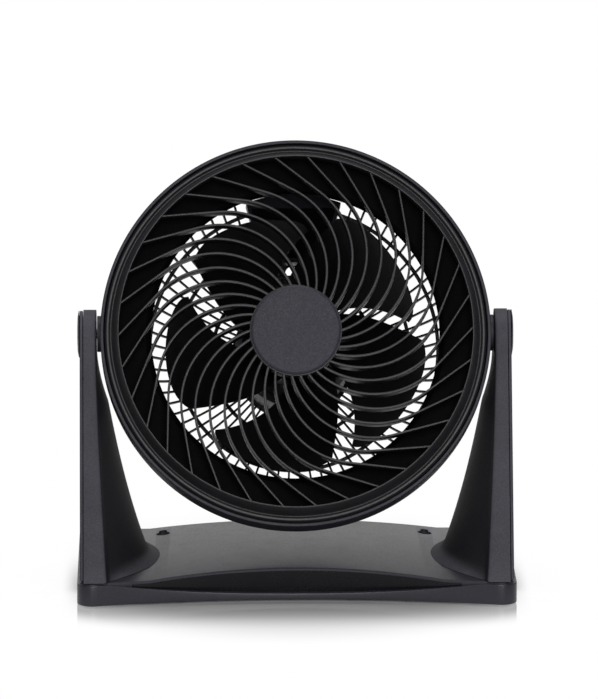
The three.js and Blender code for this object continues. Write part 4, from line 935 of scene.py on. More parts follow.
@dataclass
class FrontGrille:
    """The ring, the spiral slats and the hub that they leave from."""

    ring_inner: float = 111.8
    ring_outer: float = 120.9
    tip: float = 27.4
    crest: float = 18.2
    seat: float = 10.6
    slats: int = 34
    phase: float = 20.7
    lean: float = 19.0
    bend_radius: float = 52.0
    bend_angle: float = 91.5
    bend_steps: int = 22
    run_steps: int = 8
    root_thickness: float = 1.8
    end_thickness: float = 1.2
    depth: float = 12.2
    hub_radius: float = 29.2
    hub_bore: float = 5.9
    hub_front: float = 28.2
    hub_depth: float = 13.0
    hub_wall: float = 2.0
    cap_radius: float = 28.4
    cap_height: float = 2.6
    cap_pin: float = 5.6
    lug_circle: float = 116.35
    lug_front: float = 15.2

    def ring(self) -> Shell:
        """The ring that carries the slats' ends.

        Returns:
            The ring as a shell.
        """
        inner, outer, tip, seat, valley = self.ring_inner, self.ring_outer, self.tip, self.seat, self.crest - 2.2
        corners = [
            (inner, seat + 2.4), (inner, tip), (inner + 0.9, tip), (inner + 2.8, tip - 4.9), (inner + 4.0, tip - 9.9),
            (inner + 4.8, valley), (outer - 3.5, valley + 0.2), (outer - 2.7, self.crest), (outer - 1.2, self.crest),
            (outer, self.crest - 2.0), (outer, seat), (outer - 2.0, seat), (outer - 2.0, valley - 2.0),
            (inner + 4.8, valley - 2.0), (inner + 2.0, tip - 9.0), (inner + 2.0, seat + 2.4),
        ]
        return turned(corners, 0.55, RING_SIDES)

    def slat_line(self) -> list[tuple[Vector, float]]:
        """Draws the slat's middle line: an arc from the hub, and then straight on into the ring.

        Returns:
            Its points and headings.
        """
        start = Vector((self.hub_radius - 1, 0))
        lean = math.radians(self.lean)
        centre = start + Vector((-math.sin(lean), math.cos(lean))) * self.bend_radius
        line = []
        for heading in arc(self.lean, self.lean + self.bend_angle, self.bend_steps):
            line.append((centre + Vector((math.sin(heading), -math.cos(heading))) * self.bend_radius, heading))
        bend, heading = line[-1]
        way = Vector((math.cos(heading), math.sin(heading)))
        along = bend.dot(way)
        run = -along + math.sqrt(along**2 - bend.dot(bend) + (self.ring_inner + 1.0) ** 2)
        for step in range(1, self.run_steps + 1):
            line.append((bend + way * run * step / self.run_steps, heading))
        return line

    def slat(self) -> Shell:
        """One slat with rounded edges, falling back from the hub to the ring.

        Returns:
            The slat as a shell.
        """
        sections = []
        line = self.slat_line()
        top = self.hub_front - 0.6
        fall = top - (self.tip - 2)
        for i, (point, heading) in enumerate(line):
            width = self.root_thickness + (self.end_thickness - self.root_thickness) * (i / (len(line) - 1))
            out = max(0.0, (point.length - self.hub_radius) / (self.ring_inner - self.hub_radius))
            middle = top - fall * out - self.depth / 2
            normal = Vector((-math.sin(heading), math.cos(heading)))
            section = bar_section(width, self.depth, width * 0.42)
            sections.append([Vector((point.x + normal.x * a, point.y + normal.y * a, middle + b)) for a, b in section])
        return lofted(sections)

    def hub(self) -> Shell:
        """The cup in the middle.

        Returns:
            The cup as a shell.
        """
        r, bore, front, back = self.hub_radius, self.hub_bore, self.hub_front, self.hub_front - self.hub_depth
        inner, under = r - self.hub_wall, front - self.hub_wall
        corners = [(bore, front), (r, front), (r, back), (inner, back), (inner, under), (bore, under)]
        return turned(corners, MOULD_EDGE, 136)

    def cap(self) -> Shell:
        """The slightly domed disc on the hub, with its pin.

        Returns:
            The cap as a shell.
        """
        r, pin, root, back = self.cap_radius, self.cap_pin, self.hub_front - 5, self.hub_front + 0.4
        face = back + self.cap_height
        corners = [
            (0.0, root), (pin, root), (pin, back), (r, back), (r, face - 1.0), (r - 1.3, face - 0.12),
            (r - 8.0, face), (0.0, face),
        ]
        return turned(corners, 0.8, 160, 4)

    def build(self, bench: Bench) -> None:
        """Makes the grille and its cap.

        Args:
            bench: takes the finished pieces.
        """
        shell = self.ring().add(self.hub())
        shell.add_round(self.slat(), (self.phase + k * 360 / self.slats for k in range(self.slats)))
        lug = turned([(1.6, self.seat), (2.9, self.seat), (2.9, self.lug_front), (1.6, self.lug_front)], 0.2, 24, 2)
        shell.add_round(lug, (45, 135, 225, 315), self.lug_circle)
        piece = to_object("spiral_grille", shell, HEAD, 30)
        bench.put(piece, Body.HEAD, Look.GRILLE, "charcoal_plastic", "front_grille")
        cap = to_object("hub_cap", self.cap(), HEAD, 50)
        bench.put(cap, Body.HEAD, Look.CAP, "charcoal_plastic", "grille_cap")


@dataclass
class Impeller:
    """Five swept blades on a hub."""

    blades: int = 5
    phase: float = 152.0
    tip_leading: float = 79.0
    tip_trailing: float = 85.8
    tip_angle: float = 61.0
    lead_sweep: float = 0.7
    trail_sweep: float = 0.28
    trail_curl: float = 0.006
    tip_droop: float = 0.055
    thickness: float = 2.0
    camber: float = 2.5
    rear: float = -32.0
    front: float = -1.0
    hub_radius: float = 27.0
    hub_front: float = -3.4
    hub_rear: float = -34.0
    hub_wall: float = 2.2
    bore: float = 4.3
    sleeve: float = 8.0
    stations: int = 20
    chords: int = 26

    def leading(self, radius: float) -> float:
        """The leading edge's angle at a radius, in degrees."""
        return self.phase + self.lead_sweep * (self.tip_leading - radius)

    def trailing(self, radius: float) -> float:
        """The trailing edge's angle at a radius, in degrees."""
        inward = self.tip_trailing - radius
        return self.phase + self.tip_angle + self.trail_sweep * inward + self.trail_curl * inward**2

    def blade(self) -> Shell:
        """Lofts one blade outwards from inside the hub's wall.

        Returns:
            The blade as a shell.
        """
        root = self.hub_radius - self.hub_wall / 2
        sections = []
        for station in range(self.stations):
            out = station / (self.stations - 1)
            face, back = [], []
            for step in range(self.chords + 1):
                chord = step / self.chords
                corner = 1 - self.tip_droop * abs(2 * chord - 1) ** 6
                tip = (self.tip_leading + (self.tip_trailing - self.tip_leading) * chord) * corner
                radius = root + (tip - root) * out
                lead, trail = self.leading(radius), self.trailing(radius)
                rear = self.rear - 0.5 * (1 - out)
                front = (self.hub_front - 3) * (1 - out) + self.front * out
                z = rear + (front - rear) * chord - self.camber * math.sin(math.pi * chord)
                full = 0.45 + 0.55 * math.sin(math.pi * min(1.0, chord + 0.12))
                half = self.thickness / 2 * full * (1.0 if station < self.stations - 1 else 0.55)
                x, y = polar(radius, math.radians(lead + (trail - lead) * chord))
                face.append(Vector((x, y, z + half)))
                back.append(Vector((x, y, z - half)))
            sections.append(face + back[::-1])
        return lofted(sections)

    def build(self, bench: Bench) -> None:
        """Makes the impeller.

        Args:
            bench: takes the finished piece.
        """
        r, wall, front, rear, sleeve = self.hub_radius, self.hub_wall, self.hub_front, self.hub_rear, self.sleeve
        corners = [
            (self.bore, front), (r - 4, front), (r - 1.4, front - 1), (r, front - 4), (r, rear), (r - wall, rear),
            (r - wall, front - 5), (r - 4, front - wall), (sleeve, front - wall), (sleeve, front - 22),
            (self.bore, front - 22),
        ]
        shell = turned(corners, 0.8, 128)
        shell.add_round(self.blade(), (k * 360 / self.blades for k in range(self.blades)))
        piece = to_object("swept_impeller", shell, HEAD, 45)
        bench.put(piece, Body.IMPELLER, Look.INNER, "dark_plastic", "impeller")


@dataclass
class RearCover:
    """The cone behind the band, the domed guard of spokes with its motor plate, and the control panel."""

    edge_radius: float = 122.0
    front: float = -12.4
    rim_radius: float = 101.5
    rim_width: float = 3.0
    rim_rear: float = -37.0
    start: Point2 = (99.5, -35.0)
    shoulder: Point2 = (84.0, -86.0)
    end: Point2 = (38.0, -89.0)
    spokes: int = 72
    spoke_width: float = 1.3
    spoke_depth: float = 3.0
    spoke_start: float = 0.04
    spoke_steps: int = 18
    short_start: float = 0.77
    rings: tuple[float, ...] = (0.19, 0.52, 0.83)
    ring_width: float = 2.4
    ring_steps: int = 150
    plate_radius: float = 40.0
    plate_bore: float = 8.0
    plate_front: float = -87.5
    plate_thickness: float = 3.0
    vents: int = 8
    vent_ends: Point2 = (16.8, 29.2)
    vent_half: float = 1.8
    panel_angle: float = 18.1
    panel_wall: float = 2.2
    panel_top: Point2 = (94.0, -57.0)
    panel_low: Point2 = (65.0, -88.0)
    panel_sill: Point2 = (60.0, -70.0)
    panel_ceiling: float = 90.5
    switch_hole: float = 3.7
    tongue_hole: Point2 = (-0.6, 54.9)
    tongue_hole_radii: Point2 = (4.3, 5.2)
    hole_angle: float = 90.0
    gland_drop: float = 24.0
    gland_hole: float = 6.6

    def dome(self, t: float) -> Point2:
        """A point on the guard's curve, which the shoulder pulls on."""
        bends = zip(self.start, self.shoulder, self.end)
        return tuple((1 - t) ** 2 * p + 2 * t * (1 - t) * q + t**2 * r for p, q, r in bends)

    def spoke(self, start: float) -> Shell:
        """Lofts one spoke along the dome's curve to the motor plate.

        Args:
            start: the share of the curve that it leaves out.

        Returns:
            The spoke as a shell.
        """
        sections = []
        shape = bar_section(self.spoke_width, self.spoke_depth, 0.5, 2)
        for step in range(self.spoke_steps + 1):
            t = start + (1 - start) * step / self.spoke_steps
            r, z = self.dome(t)
            r0, z0 = self.dome(max(0.0, t - 0.02))
            r1, z1 = self.dome(min(1.0, t + 0.02))
            normal = Vector((-(z1 - z0), r1 - r0)).normalized()
            sections.append([Vector((r + normal.x * b, a, z + normal.y * b)) for a, b in shape])
        return lofted(sections)

    def skin(self) -> Shell:
        """The solid cone from the band to the rim, with its four screw towers.

        Returns:
            The cone as a shell.
        """
        edge, front, rim, rear = self.edge_radius, self.front, self.rim_radius, self.rim_rear
        inner = rim - self.rim_width
        corners = [
            (edge, front), (edge - 4.0, front - 5.6), (rim + 3, rear + 7), (rim, rear + 3.4), (rim, rear),
            (inner, rear), (inner, rear + 3.8), (rim + 1.4, rear + 9.2), (edge - 6.0, front - 4.0),
            (edge - 3.5, front + 3), (edge - 1.5, front + 3), (edge - 1.5, front),
        ]
        tower = [(2.0, -17.0), (2.0, -8.4), (4.6, -8.4), (4.6, -31.5), (3.4, -31.5), (3.4, -17.0)]
        shell = turned(corners, MOULD_EDGE, RING_SIDES)
        return shell.add_round(turned(tower, 0.2, 32, 2), TOWER_ANGLES, TOWER_CIRCLE)

    def guard(self) -> Shell:
        """The seat ring, the spokes and the rings that tie them.

        Returns:
            The guard as a shell.
        """
        seat, rim, inner = self.rim_rear - 0.4, self.rim_radius, self.rim_radius - self.rim_width + 0.4
        shell = turned([(inner, seat), (rim, seat), (rim, seat - 3), (inner, seat - 3)], 0.6, RING_SIDES)
        long, short = self.spoke(self.spoke_start), self.spoke(self.short_start)
        hidden = self.panel_angle + 0.6
        for k in range(self.spokes):
            angle = (k + 0.5) * 360 / self.spokes
            if abs(angle - 90) > hidden:
                shell.add(long.moved(spin(angle)))
            elif abs(angle - self.hole_angle) > 5:
                shell.add(short.moved(spin(angle)))
        for t in self.rings:
            shell.add(self.ring_bar(*self.dome(t), hidden if t < self.short_start else 0.0))
        return shell

    def ring_bar(self, radius: float, z: float, gap: float) -> Shell:
        """A ring of the guard.

        Args:
            radius: its middle radius.
            z: its place along the axis.
            gap: how many degrees each side of the top it leaves open.

        Returns:
            The ring as a shell.
        """
        section = bar_section(self.ring_width, self.ring_width, 0.8)
        if gap == 0:
            return revolved([(radius + a, z + b) for a, b in section], 192)
        sections = []
        for angle in arc(90 + gap, 450 - gap, self.ring_steps):
            sections.append([Vector((*polar(radius + a, angle), z + b)) for a, b in section])
        return lofted(sections)

    def wedge(self, points: Sequence[Point2], inset: float) -> Shell:
        """Widens a side view into a solid that tapers as the panel does.

        Args:
            points: the side view, as up and forward.
            inset: how far its sides stand inside the panel's own.

        Returns:
            The solid as a shell.
        """
        taper = math.tan(math.radians(self.panel_angle))
        tip = inset / math.sin(math.radians(self.panel_angle))
        solid = prism(points, -1, 1).moved(SIDEWAYS)
        return solid.bent(lambda point: Vector((point.x * taper * (point.y - tip), point.y, point.z)))

    def panel_outline(self, inset: float) -> list[Point2]:
        """The panel in side view.

        Args:
            inset: how far inside the outer face it runs.

        Returns:
            Its corners, as up and forward.
        """
        top, low, sill, rim = self.panel_top, self.panel_low, self.panel_sill, self.rim_radius - inset
        return [
            (rim - 2.5, self.rim_rear + 2.5), (rim - 2.6, self.rim_rear - 4.0),
            (top[0] - inset, top[1] + 0.4 * inset), (low[0] - 0.1 * inset, low[1] + 1.4 * inset),
            (sill[0] + inset, low[1] + 3.5 + inset), (sill[0] + inset, sill[1]),
        ]

    def panel(self) -> bpy.types.Object:
        """The control panel's box, open to the front, with the switch hole.

        Returns:
            The box.
        """
        piece = to_object("panel_box", self.wedge(self.panel_outline(0), 0), HEAD)
        edge, flat = self.rim_radius - self.rim_width - 0.1, self.panel_ceiling
        collar = revolved([(edge, -34), (130, -34), (130, -95), (edge, -95)], RING_SIDES)
        inner = [(min(up, flat), forward) for up, forward in self.panel_outline(self.panel_wall)]
        mouth = [(inner[-1][0], self.panel_sill[1] + 9), (flat, self.rim_rear + 11.5)]
        hollow = self.wedge([*inner, *mouth], self.panel_wall)
        drill = rod(self.switch_hole, -8, 8).moved(self.face_matrix())
        cut_with(piece, [collar, hollow, drill], HEAD)
        return bevelled(piece, 1.2, 30)

    def face_matrix(self) -> Matrix:
        """The frame of the panel's sloped face.

        Returns:
            A matrix with Z outwards along the switch's axis.
        """
        top, low = Vector(self.panel_top), Vector(self.panel_low)
        slope = math.atan2(top.y - low.y, top.x - low.x)
        turn = -math.atan2(math.sin(slope), -math.cos(slope))
        middle = (top + low) / 2
        return shift(0, middle.x, middle.y) @ Matrix.Rotation(turn, 4, "X")

    def plate(self) -> bpy.types.Object:
        """The motor plate with its vents and the cord hole.

        Returns:
            The plate.
        """
        r, bore, front = self.plate_radius, self.plate_bore, self.plate_front
        rear = front - self.plate_thickness
        profile = [(bore, front), (r, front), (r, rear), (bore, rear)]
        piece = to_object("motor_plate", turned(profile, MOULD_EDGE, 96), HEAD)
        near, far = self.vent_ends
        slot = [*bow((near, 0), self.vent_half, 90, 270, 8), *bow((far, 0), self.vent_half, -90, 90, 8)]
        vent = prism(slot, rear - 1, front + 1)
        cutters = [vent.moved(spin((k + 0.5) * 360 / self.vents)) for k in range(self.vents)]
        cutters.append(rod(self.gland_hole, rear - 1, front + 1, 48).moved(shift(0, -self.gland_drop, 0)))
        cut_with(piece, cutters, HEAD)
        return piece

    def tongue(self) -> bpy.types.Object:
        """The flat web between the motor plate and the panel, with one oval hole.

        Returns:
            The web.
        """
        low, high = self.plate_radius - 2, self.panel_sill[0] + 3
        taper = math.tan(math.radians(self.panel_angle))
        outline = [(-low * taper, low), (low * taper, low), (high * taper, high), (-high * taper, high)]
        rear = self.plate_front - 2.0
        piece = to_object("panel_tongue", prism(outline, rear, self.plate_front - 0.4), HEAD)
        wide, tall = self.tongue_hole_radii
        hole = bow(self.tongue_hole, wide, 0, 360, 32, tall)[:-1]
        cut_with(piece, [prism(hole, rear - 1, self.plate_front + 1)], HEAD)
        return bevelled(piece, 0.4, 30, 2)

    def build(self, bench: Bench) -> None:
        """Makes the cover, the guard, the motor plate and the panel.

        Args:
            bench: takes the finished pieces.
        """
        bench.put(to_object("cover_cone", self.skin(), HEAD), Body.HEAD, Look.BODY, "dark_plastic", "rear_cover")
        bench.put(to_object("domed_guard", self.guard(), HEAD), Body.HEAD, Look.INNER, "dark_plastic", "rear_guard")
        bench.put(self.plate(), Body.HEAD, Look.INNER, "dark_plastic")
        bench.put(self.tongue(), Body.HEAD, Look.INNER, "dark_plastic")
        bench.put(self.panel(), Body.HEAD, Look.BODY, "dark_plastic", "control_panel")


@dataclass
class Controls:
    """The knob on the panel and the cord gland in the motor plate."""

    cover: RearCover
    knob_radius: float = 12.5
    flutes: int = 24
    flute_share: float = 0.022
    gland_bore: float = 4.0
    gland_radius: float = 5.8
    gland_front: float = -88.5
    gland_rear: float = -90.9

    def knob(self) -> bpy.types.Object:
        """The knob on the panel's face, with its fluted skirt and grip bar.

        Returns:
            The knob.
        """
        r = self.knob_radius
        corners = [
            (0.0, 1.0), (3.2, 1.0), (3.2, 0.8), (r, 0.8), (r, 2.6), (r - 1.4, 4.2), (r - 3, 4.8), (0.0, 5.0),
        ]
        skirt = turned(corners, 0.5, 96).bent(self._flute)
        grip = rounded([(-2.6, -9.2), (2.6, -9.2), (3.4, 0.0), (1.6, 10.2), (-1.6, 10.2), (-3.4, 0.0)], 1.6, 5)
        sections = []
        for z, inset in ((3.5, 0.0), (9.6, 0.0), (10.4, 0.25), (10.85, 0.7), (11.0, 1.4)):
            sections.append([Vector((x * (1 - inset / 4), y * (1 - inset / 11), z)) for x, y in grip])
        return to_object("grip_knob", skirt.add(lofted(sections)), HEAD @ self.cover.face_matrix(), 35)

    def _flute(self, point: Vector) -> Vector:
        """Presses shallow finger flutes into the skirt's side.

        Args:
            point: a point of the skirt.

        Returns:
            Where it goes.
        """
        if math.hypot(point.x, point.y) < self.knob_radius - 1.2:
            return point
        angle = math.atan2(point.y, point.x)
        factor = 1 - self.flute_share * (0.5 - 0.5 * math.cos(angle * self.flutes))
        return Vector((point.x * factor, point.y * factor, point.z))

    def gland(self) -> bpy.types.Object:
        """The rubber gland in the motor plate.

        Returns:
            The gland.
        """
        bore, r, front, rear = self.gland_bore, self.gland_radius, self.gland_front, self.gland_rear
        corners = [
            (bore, front), (r, front), (r, rear), (r + 2, rear), (r + 2, rear - 1.6), (bore + 1.2, rear - 2.6),
            (bore + 1, rear - 5), (bore, rear - 5),
        ]
        shell = turned(corners, 0.4, 64).moved(shift(0, -self.cover.gland_drop, 0))
        return to_object("cord_gland_boot", shell, HEAD, 35)

    def build(self, bench: Bench) -> None:
        """Makes the controls.

        Args:
            bench: takes the finished pieces.
        """
        bench.put(self.knob(), Body.KNOB, Look.BODY, "dark_plastic", "control_knob")
        bench.put(self.gland(), Body.HEAD, Look.RUBBER, "black_rubber", "cord_gland")


@dataclass
class Motor:
    """The motor's cover; the CAD keeps what is inside it."""

    radius: float = 37.5
    bore: float = 6.5
    front: float = -38.0
    rear: float = -87.1
    wall: float = 2.0
    vents: int = 12
    vent_half: float = 1.6

    def build(self, bench: Bench) -> None:
        """Makes the cover with its vents.

        Args:
            bench: takes the finished piece.
        """
        r, bore, f, rear, w = self.radius, self.bore, self.front, self.rear, self.wall
        corners = [
            (bore, f), (r - 12, f), (r - 4, f - 3), (r, f - 10), (r, rear), (r - w, rear),
            (r - w, f - 10.5), (r - 5.2, f - 4.8), (r - 12.5, f - w), (bore, f - w),
        ]
        piece = to_object("motor_can", turned(corners, 1.2, 128, 4), HEAD)
        slot = block((-self.vent_half, 24, f - 14), (self.vent_half, 44, f - 6))
        cut_with(piece, [slot.moved(spin((k + 0.5) * 360 / self.vents)) for k in range(self.vents)], HEAD)
        bench.put(piece, Body.HEAD, Look.INNER, "dark_plastic", "motor_cover")


# ---- stand ----


@dataclass
class ArmForm:
    """The sizes that the two arms share, measured from the pivot line down."""

    pivot_height: float = 160.02
    foot: float = 15.8
    inner: float = 126.0
    outer: float = 134.3
    top_radius: float = 15.4
    edge_top: float = 8.0
    edge_foot: float = 15.0
    lean: float = 0.16
    flare: float = 10.3
    foot_front: float = 74.0
    foot_rear: float = 71.0
    sweep: float = 126.6
    foot_fillet: float = 1.9
    inner_fillet: float = 7.5
    fillet_height: float = 9.5
    edge_round: float = 3.2
    face_steps: int = 40
    cover_gap: float = 0.7
    cover_faces: Point2 = (134.6, 136.6)
    cap_radius: float = 15.0
    cap_spigot: float = 11.6
    cap_back: float = 134.8
    cap_flange: float = 136.9

    @property
    def drop(self) -> float:
        """From the pivot line to the arm's foot."""
        return self.pivot_height - self.foot

    def touch(self, radius: float, reach: float) -> float:
        """The angle at which a straight edge from the foot touches the top's round, in radians."""
        return math.atan2(self.drop, reach) - math.acos(radius / math.hypot(self.drop, reach))

    def reach(self, below: float, foot_reach: float) -> float:
        """How far the edge stands from the pivot's plane.

        Args:
            below: the depth below the pivot.
            foot_reach: how far the edge stands out at the foot.

        Returns:
            The distance.
        """
        radius = self.top_radius
        x, depth = polar(radius, self.touch(radius, foot_reach))
        if below <= depth:
            return math.sqrt(max(0.0, radius**2 - below**2))
        return x + (foot_reach - x) * (below - depth) / (self.drop - depth)

    def inner_face(self, below: float) -> float:
        """The bulge's highest line, which clears the head as it tilts.

        Args:
            below: the depth below the pivot.

        Returns:
            Its distance from the fan's middle.
        """
        share = max(0.0, below) / self.drop
        leaning = self.inner - self.lean * max(0.0, below) - self.flare * share**3
        cleared = math.sqrt(max(0.0, self.sweep**2 - below**2))
        return min(self.inner, max(leaning, cleared))


@dataclass
class Arm:
    """One arm, its outer cover and the pivot cap."""

    form: ArmForm
    side: Side
    foot_rises: tuple[float, ...] = (0.0, 0.3, 0.7, 1.2, 1.8, 2.5, 3.4, 4.4, 5.5, 6.8, 8.2)
    shaft_steps: int = 43
    crown_steps: int = 17

    @property
    def name(self) -> str:
        """The side's name, as the pieces carry it."""
        return self.side.name.lower()

    @property
    def place(self) -> Matrix:
        """The frame that the arm is drawn in, which the left arm has mirrored."""
        return FLOOR @ Matrix.Diagonal((self.side.value, 1, 1, 1))

    def section(self, below: float) -> list[Vector]:
        """The arm's outline across.

        Args:
            below: the depth below the pivot.

        Returns:
            The outline's points.
        """
        form = self.form
        near_foot = max(0.0, 1 - (form.drop - below) / form.fillet_height)
        toe = form.foot_fillet * near_foot**2.4
        front, rear = -form.reach(below, form.foot_front) - toe, form.reach(below, form.foot_rear) + toe
        share = max(0.0, below) / form.drop
        edge_width = form.edge_top + (form.edge_foot - form.edge_top) * share**1.3
        edge = form.outer - max(form.outer - form.inner_face(0), edge_width)
        inner = min(edge, form.inner_face(below)) - form.inner_fillet * near_foot**3
        turn = min(form.edge_round, (rear - front) / 4, (form.outer - edge) / 2)
        quarter = [(edge + turn * (1 - math.sin(a)), turn * (1 - math.cos(a))) for a in arc(0, 90, 6)[:-1]]
        corners: list[Point2] = [(form.outer, front), *((x, front + y) for x, y in quarter)]
        for step in range(form.face_steps + 1):
            t = step / form.face_steps
            along = front + turn + (rear - front - 2 * turn) * t
            corners.append((edge - (edge - inner) * math.sin(math.pi * t), along))
        corners += [*((x, rear - y) for x, y in reversed(quarter)), (form.outer, rear)]
        return [Vector((x, y, form.pivot_height - below)) for x, y in corners]

    def build(self, bench: Bench) -> None:
        """Makes the arm, the cover and the cap.

        Args:
            bench: takes the finished pieces.
        """
        form, steps = self.form, self.shaft_steps
        levels = [form.drop - rise for rise in self.foot_rises]
        levels += [(form.drop - 10) * (1 - k / steps) for k in range(steps + 1)]
        levels += [-form.top_radius * math.sin(a) for a in arc(5, 88, self.crown_steps)]
        shell = lofted([self.section(below) for below in levels])
        arm = bevelled(to_object(f"arm_shell_{self.name}", shell, self.place), 0.9, 50)
        # Both take the arm finish: a lighter grey as painted light on the front strip, and painted shade on faces
        # turned sideways.
        bench.put(arm, Body.STAND, Look.ARM, "charcoal_plastic", f"arm_{self.name}")
        bench.put(self.cover(), Body.STAND, Look.ARM, "dark_plastic", f"arm_cover_{self.name}")
        bench.put(self.cap(), Body.STAND, Look.BODY, "dark_plastic", f"pivot_cap_{self.name}")

    def cover(self) -> bpy.types.Object:
        """The flat cover that closes the arm from outside.

        Returns:
            The cover.
        """
        form, inset = self.form, self.form.cover_gap
        low, radius = -form.drop + inset, form.top_radius - inset
        outline: list[Point2] = [(-form.foot_front + inset, low), (form.foot_rear - inset, low)]
        start = -form.touch(radius, form.foot_rear - inset)
        end = math.pi + form.touch(radius, form.foot_front - inset)
        outline += [polar(radius, start + (end - start) * k / 48) for k in range(49)]
        upright = shift(0, 0, form.pivot_height) @ SIDEWAYS
        piece = to_object(f"arm_side_{self.name}", prism(outline, *form.cover_faces).moved(upright), self.place)
        cut_with(piece, [rod(form.cap_spigot + 0.4, 130, 140, 64).moved(upright)], self.place)
        return bevelled(piece, 0.6, 40)

    def cap(self) -> bpy.types.Object:
        """The domed disc over the pivot bolt.

        Returns:
            The cap.
        """
        r, spigot, back, flange = self.form.cap_radius, self.form.cap_spigot, self.form.cap_back, self.form.cap_flange
        corners = [
            (0.0, back), (spigot, back), (spigot, flange), (r, flange), (r - 0.3, flange + 0.4),
            (r - 4, flange + 1.1), (r - 9, flange + 1.28), (0.0, flange + 1.3),
        ]
        lifted = shift(0, 0, self.form.pivot_height) @ across(Side.RIGHT)
        return to_object(f"pivot_disc_{self.name}", turned(corners, 0.3, 96).moved(lifted), self.place, 40)


@dataclass
class Base:
    """The wide base: a crowned deck over a skirt whose front edge sags away."""

    half_width: float = 138.5
    front: float = -77.5
    rear: float = 74.5
    corner: float = 10.0
    sag: float = 17.0
    wall: float = 2.6
    lip: float = 1.6
    deck: float = 15.5
    crown: float = 5.8
    crown_half: float = 93.0
    skirt_bottom: float = 1.2
    skirt_end: float = 14.4
    skirt_middle: float = 5.1
    skirt_half: float = 118.0
    undercut: float = 3.4
    columns: int = 72
    corner_steps: int = 10
    end_steps: int = 20
    recess_half: float = 104.0
    rib_places: tuple[float, ...] = (-72.0, -36.0, 0.0, 36.0, 72.0)
    foot_boss: float = 10.6
    keyhole_x: float = 84.5
    keyhole_y: float = 53.5
    keyhole_round: float = 4.5
    keyhole_slot: float = 2.6
    keyhole_run: float = 7.0

    def deck_height(self, x: float) -> float:
        """The deck's height at a place across the base."""
        return self.deck + self.crown * (1 - min(1.0, abs(x) / self.crown_half) ** 2)

    def skirt_height(self, x: float) -> float:
        """The skirt's upper edge at a place across the base."""
        share = min(1.0, abs(x) / self.skirt_half)
        return self.skirt_middle + (self.skirt_end - self.skirt_middle) * share**2.2

    def front_edge(self, x: float) -> float:
        """The plan's front edge without its corners, at a place across the base."""
        t = (x / (self.half_width - self.corner) + 1) / 2
        return self.front + 4 * self.sag * t * (1 - t)

    def plan(self) -> list[tuple[Vector, Vector]]:
        """The plan outline: front edge, right end, rear edge, left end.

        Returns:
            Its points, each with the normal that points outwards.
        """
        turn, steps = self.corner, self.end_steps
        reach, low, high = self.half_width - turn, self.front + turn, self.rear - turn
        stations = [-reach + 2 * reach * k / self.columns for k in range(self.columns + 1)]
        right = bow((reach, low), turn, -90, 0, self.corner_steps)[1:]
        right += [(self.half_width, low + (high - low) * k / steps) for k in range(1, steps)]
        right += bow((reach, high), turn, 0, 90, self.corner_steps)[:-1]
        points = [(x, self.front_edge(x)) for x in stations] + right
        points += [(x, self.rear) for x in reversed(stations)] + [(-x, y) for x, y in reversed(right)]
        result = []
        for i, point in enumerate(points):
            way = (Vector(points[(i + 1) % len(points)]) - Vector(points[i - 1])).normalized()
            result.append((Vector(point), Vector((way.y, -way.x))))
        return result

    def wall_profile(self, x: float) -> list[Point2]:
        """The wall from the inner edge of the skirt's foot over the lip to the deck.

        Args:
            x: the place across the base.

        Returns:
            Its points, as inset and height.
        """
        deck, low, lip, wall = self.deck_height(x), self.skirt_bottom, self.lip, self.wall
        skirt = min(self.skirt_height(x), deck - 1.1)
        hollow = lip + self.undercut * min(1.0, max(0.0, (deck - skirt - 2.0) / 14))
        return [
            (lip + wall, low + 0.2), (lip + wall - 0.3, low), (0.4, low), (0.0, low + 0.4),
            (0.0, skirt - 0.75), (0.2, skirt - 0.22), (0.75, skirt), (hollow - 0.1, skirt), (hollow, skirt + 0.15),
            (lip, deck - 1.6), (lip + 0.16, deck - 0.7), (lip + 0.7, deck - 0.16), (lip + 1.6, deck),
        ]

    @staticmethod
    def inward(edge: tuple[Vector, Vector], inset: float, z: float) -> Vector:
        """The point at a height that is set in from a point of the plan."""
        point, normal = edge
        return Vector((point.x - normal.x * inset, point.y - normal.y * inset, z))

    def moulding(self) -> Shell:
        """The base without its keyholes: the wall all round, the deck and the hollow's ceiling.

        Returns:
            The closed shell.
        """
        plan = self.plan()
        count, rows = len(plan), len(self.wall_profile(0.0))
        shell = Shell([self.inward(edge, inset, z) for edge in plan for inset, z in self.wall_profile(edge[0].x)])
        for i in range(count):
            here, after = i * rows, (i + 1) % count * rows
            shell.faces += [(here + k, after + k, after + k + 1, here + k + 1) for k in range(rows - 1)]
        self.close(shell, [i * rows + rows - 1 for i in range(count)], False)
        inner = list(range(count * rows, count * rows + count))
        inset = self.lip + self.wall + self.undercut
        shell.points += [self.inward(edge, inset, self.deck_height(edge[0].x) - self.wall) for edge in plan]
        for i in range(count):
            after = (i + 1) % count
            shell.faces.append((after * rows, i * rows, inner[i], inner[after]))
        self.close(shell, inner, True)
        return shell.outward()

    def close(self, shell: Shell, loop: list[int], downward: bool) -> None:
        """Fills a loop of the plan's points with strips from front to rear and a flat piece at each end.

        Args:
            shell: what the faces go into.
            loop: the numbers of the loop's points, in the plan's order.
            downward: whether the faces look down.
        """
        columns = self.columns
        front = loop[: columns + 1]
        start = columns + 1 + (len(loop) - 2 * (columns + 1)) // 2
        rear = loop[start : start + columns + 1][::-1]
        faces = [(front[k], front[k + 1], rear[k + 1], rear[k]) for k in range(columns)]
        faces += [tuple(loop[columns : start + 1]), (*loop[start + columns :], loop[0])]
        shell.faces.extend(tuple(reversed(face)) if downward else face for face in faces)

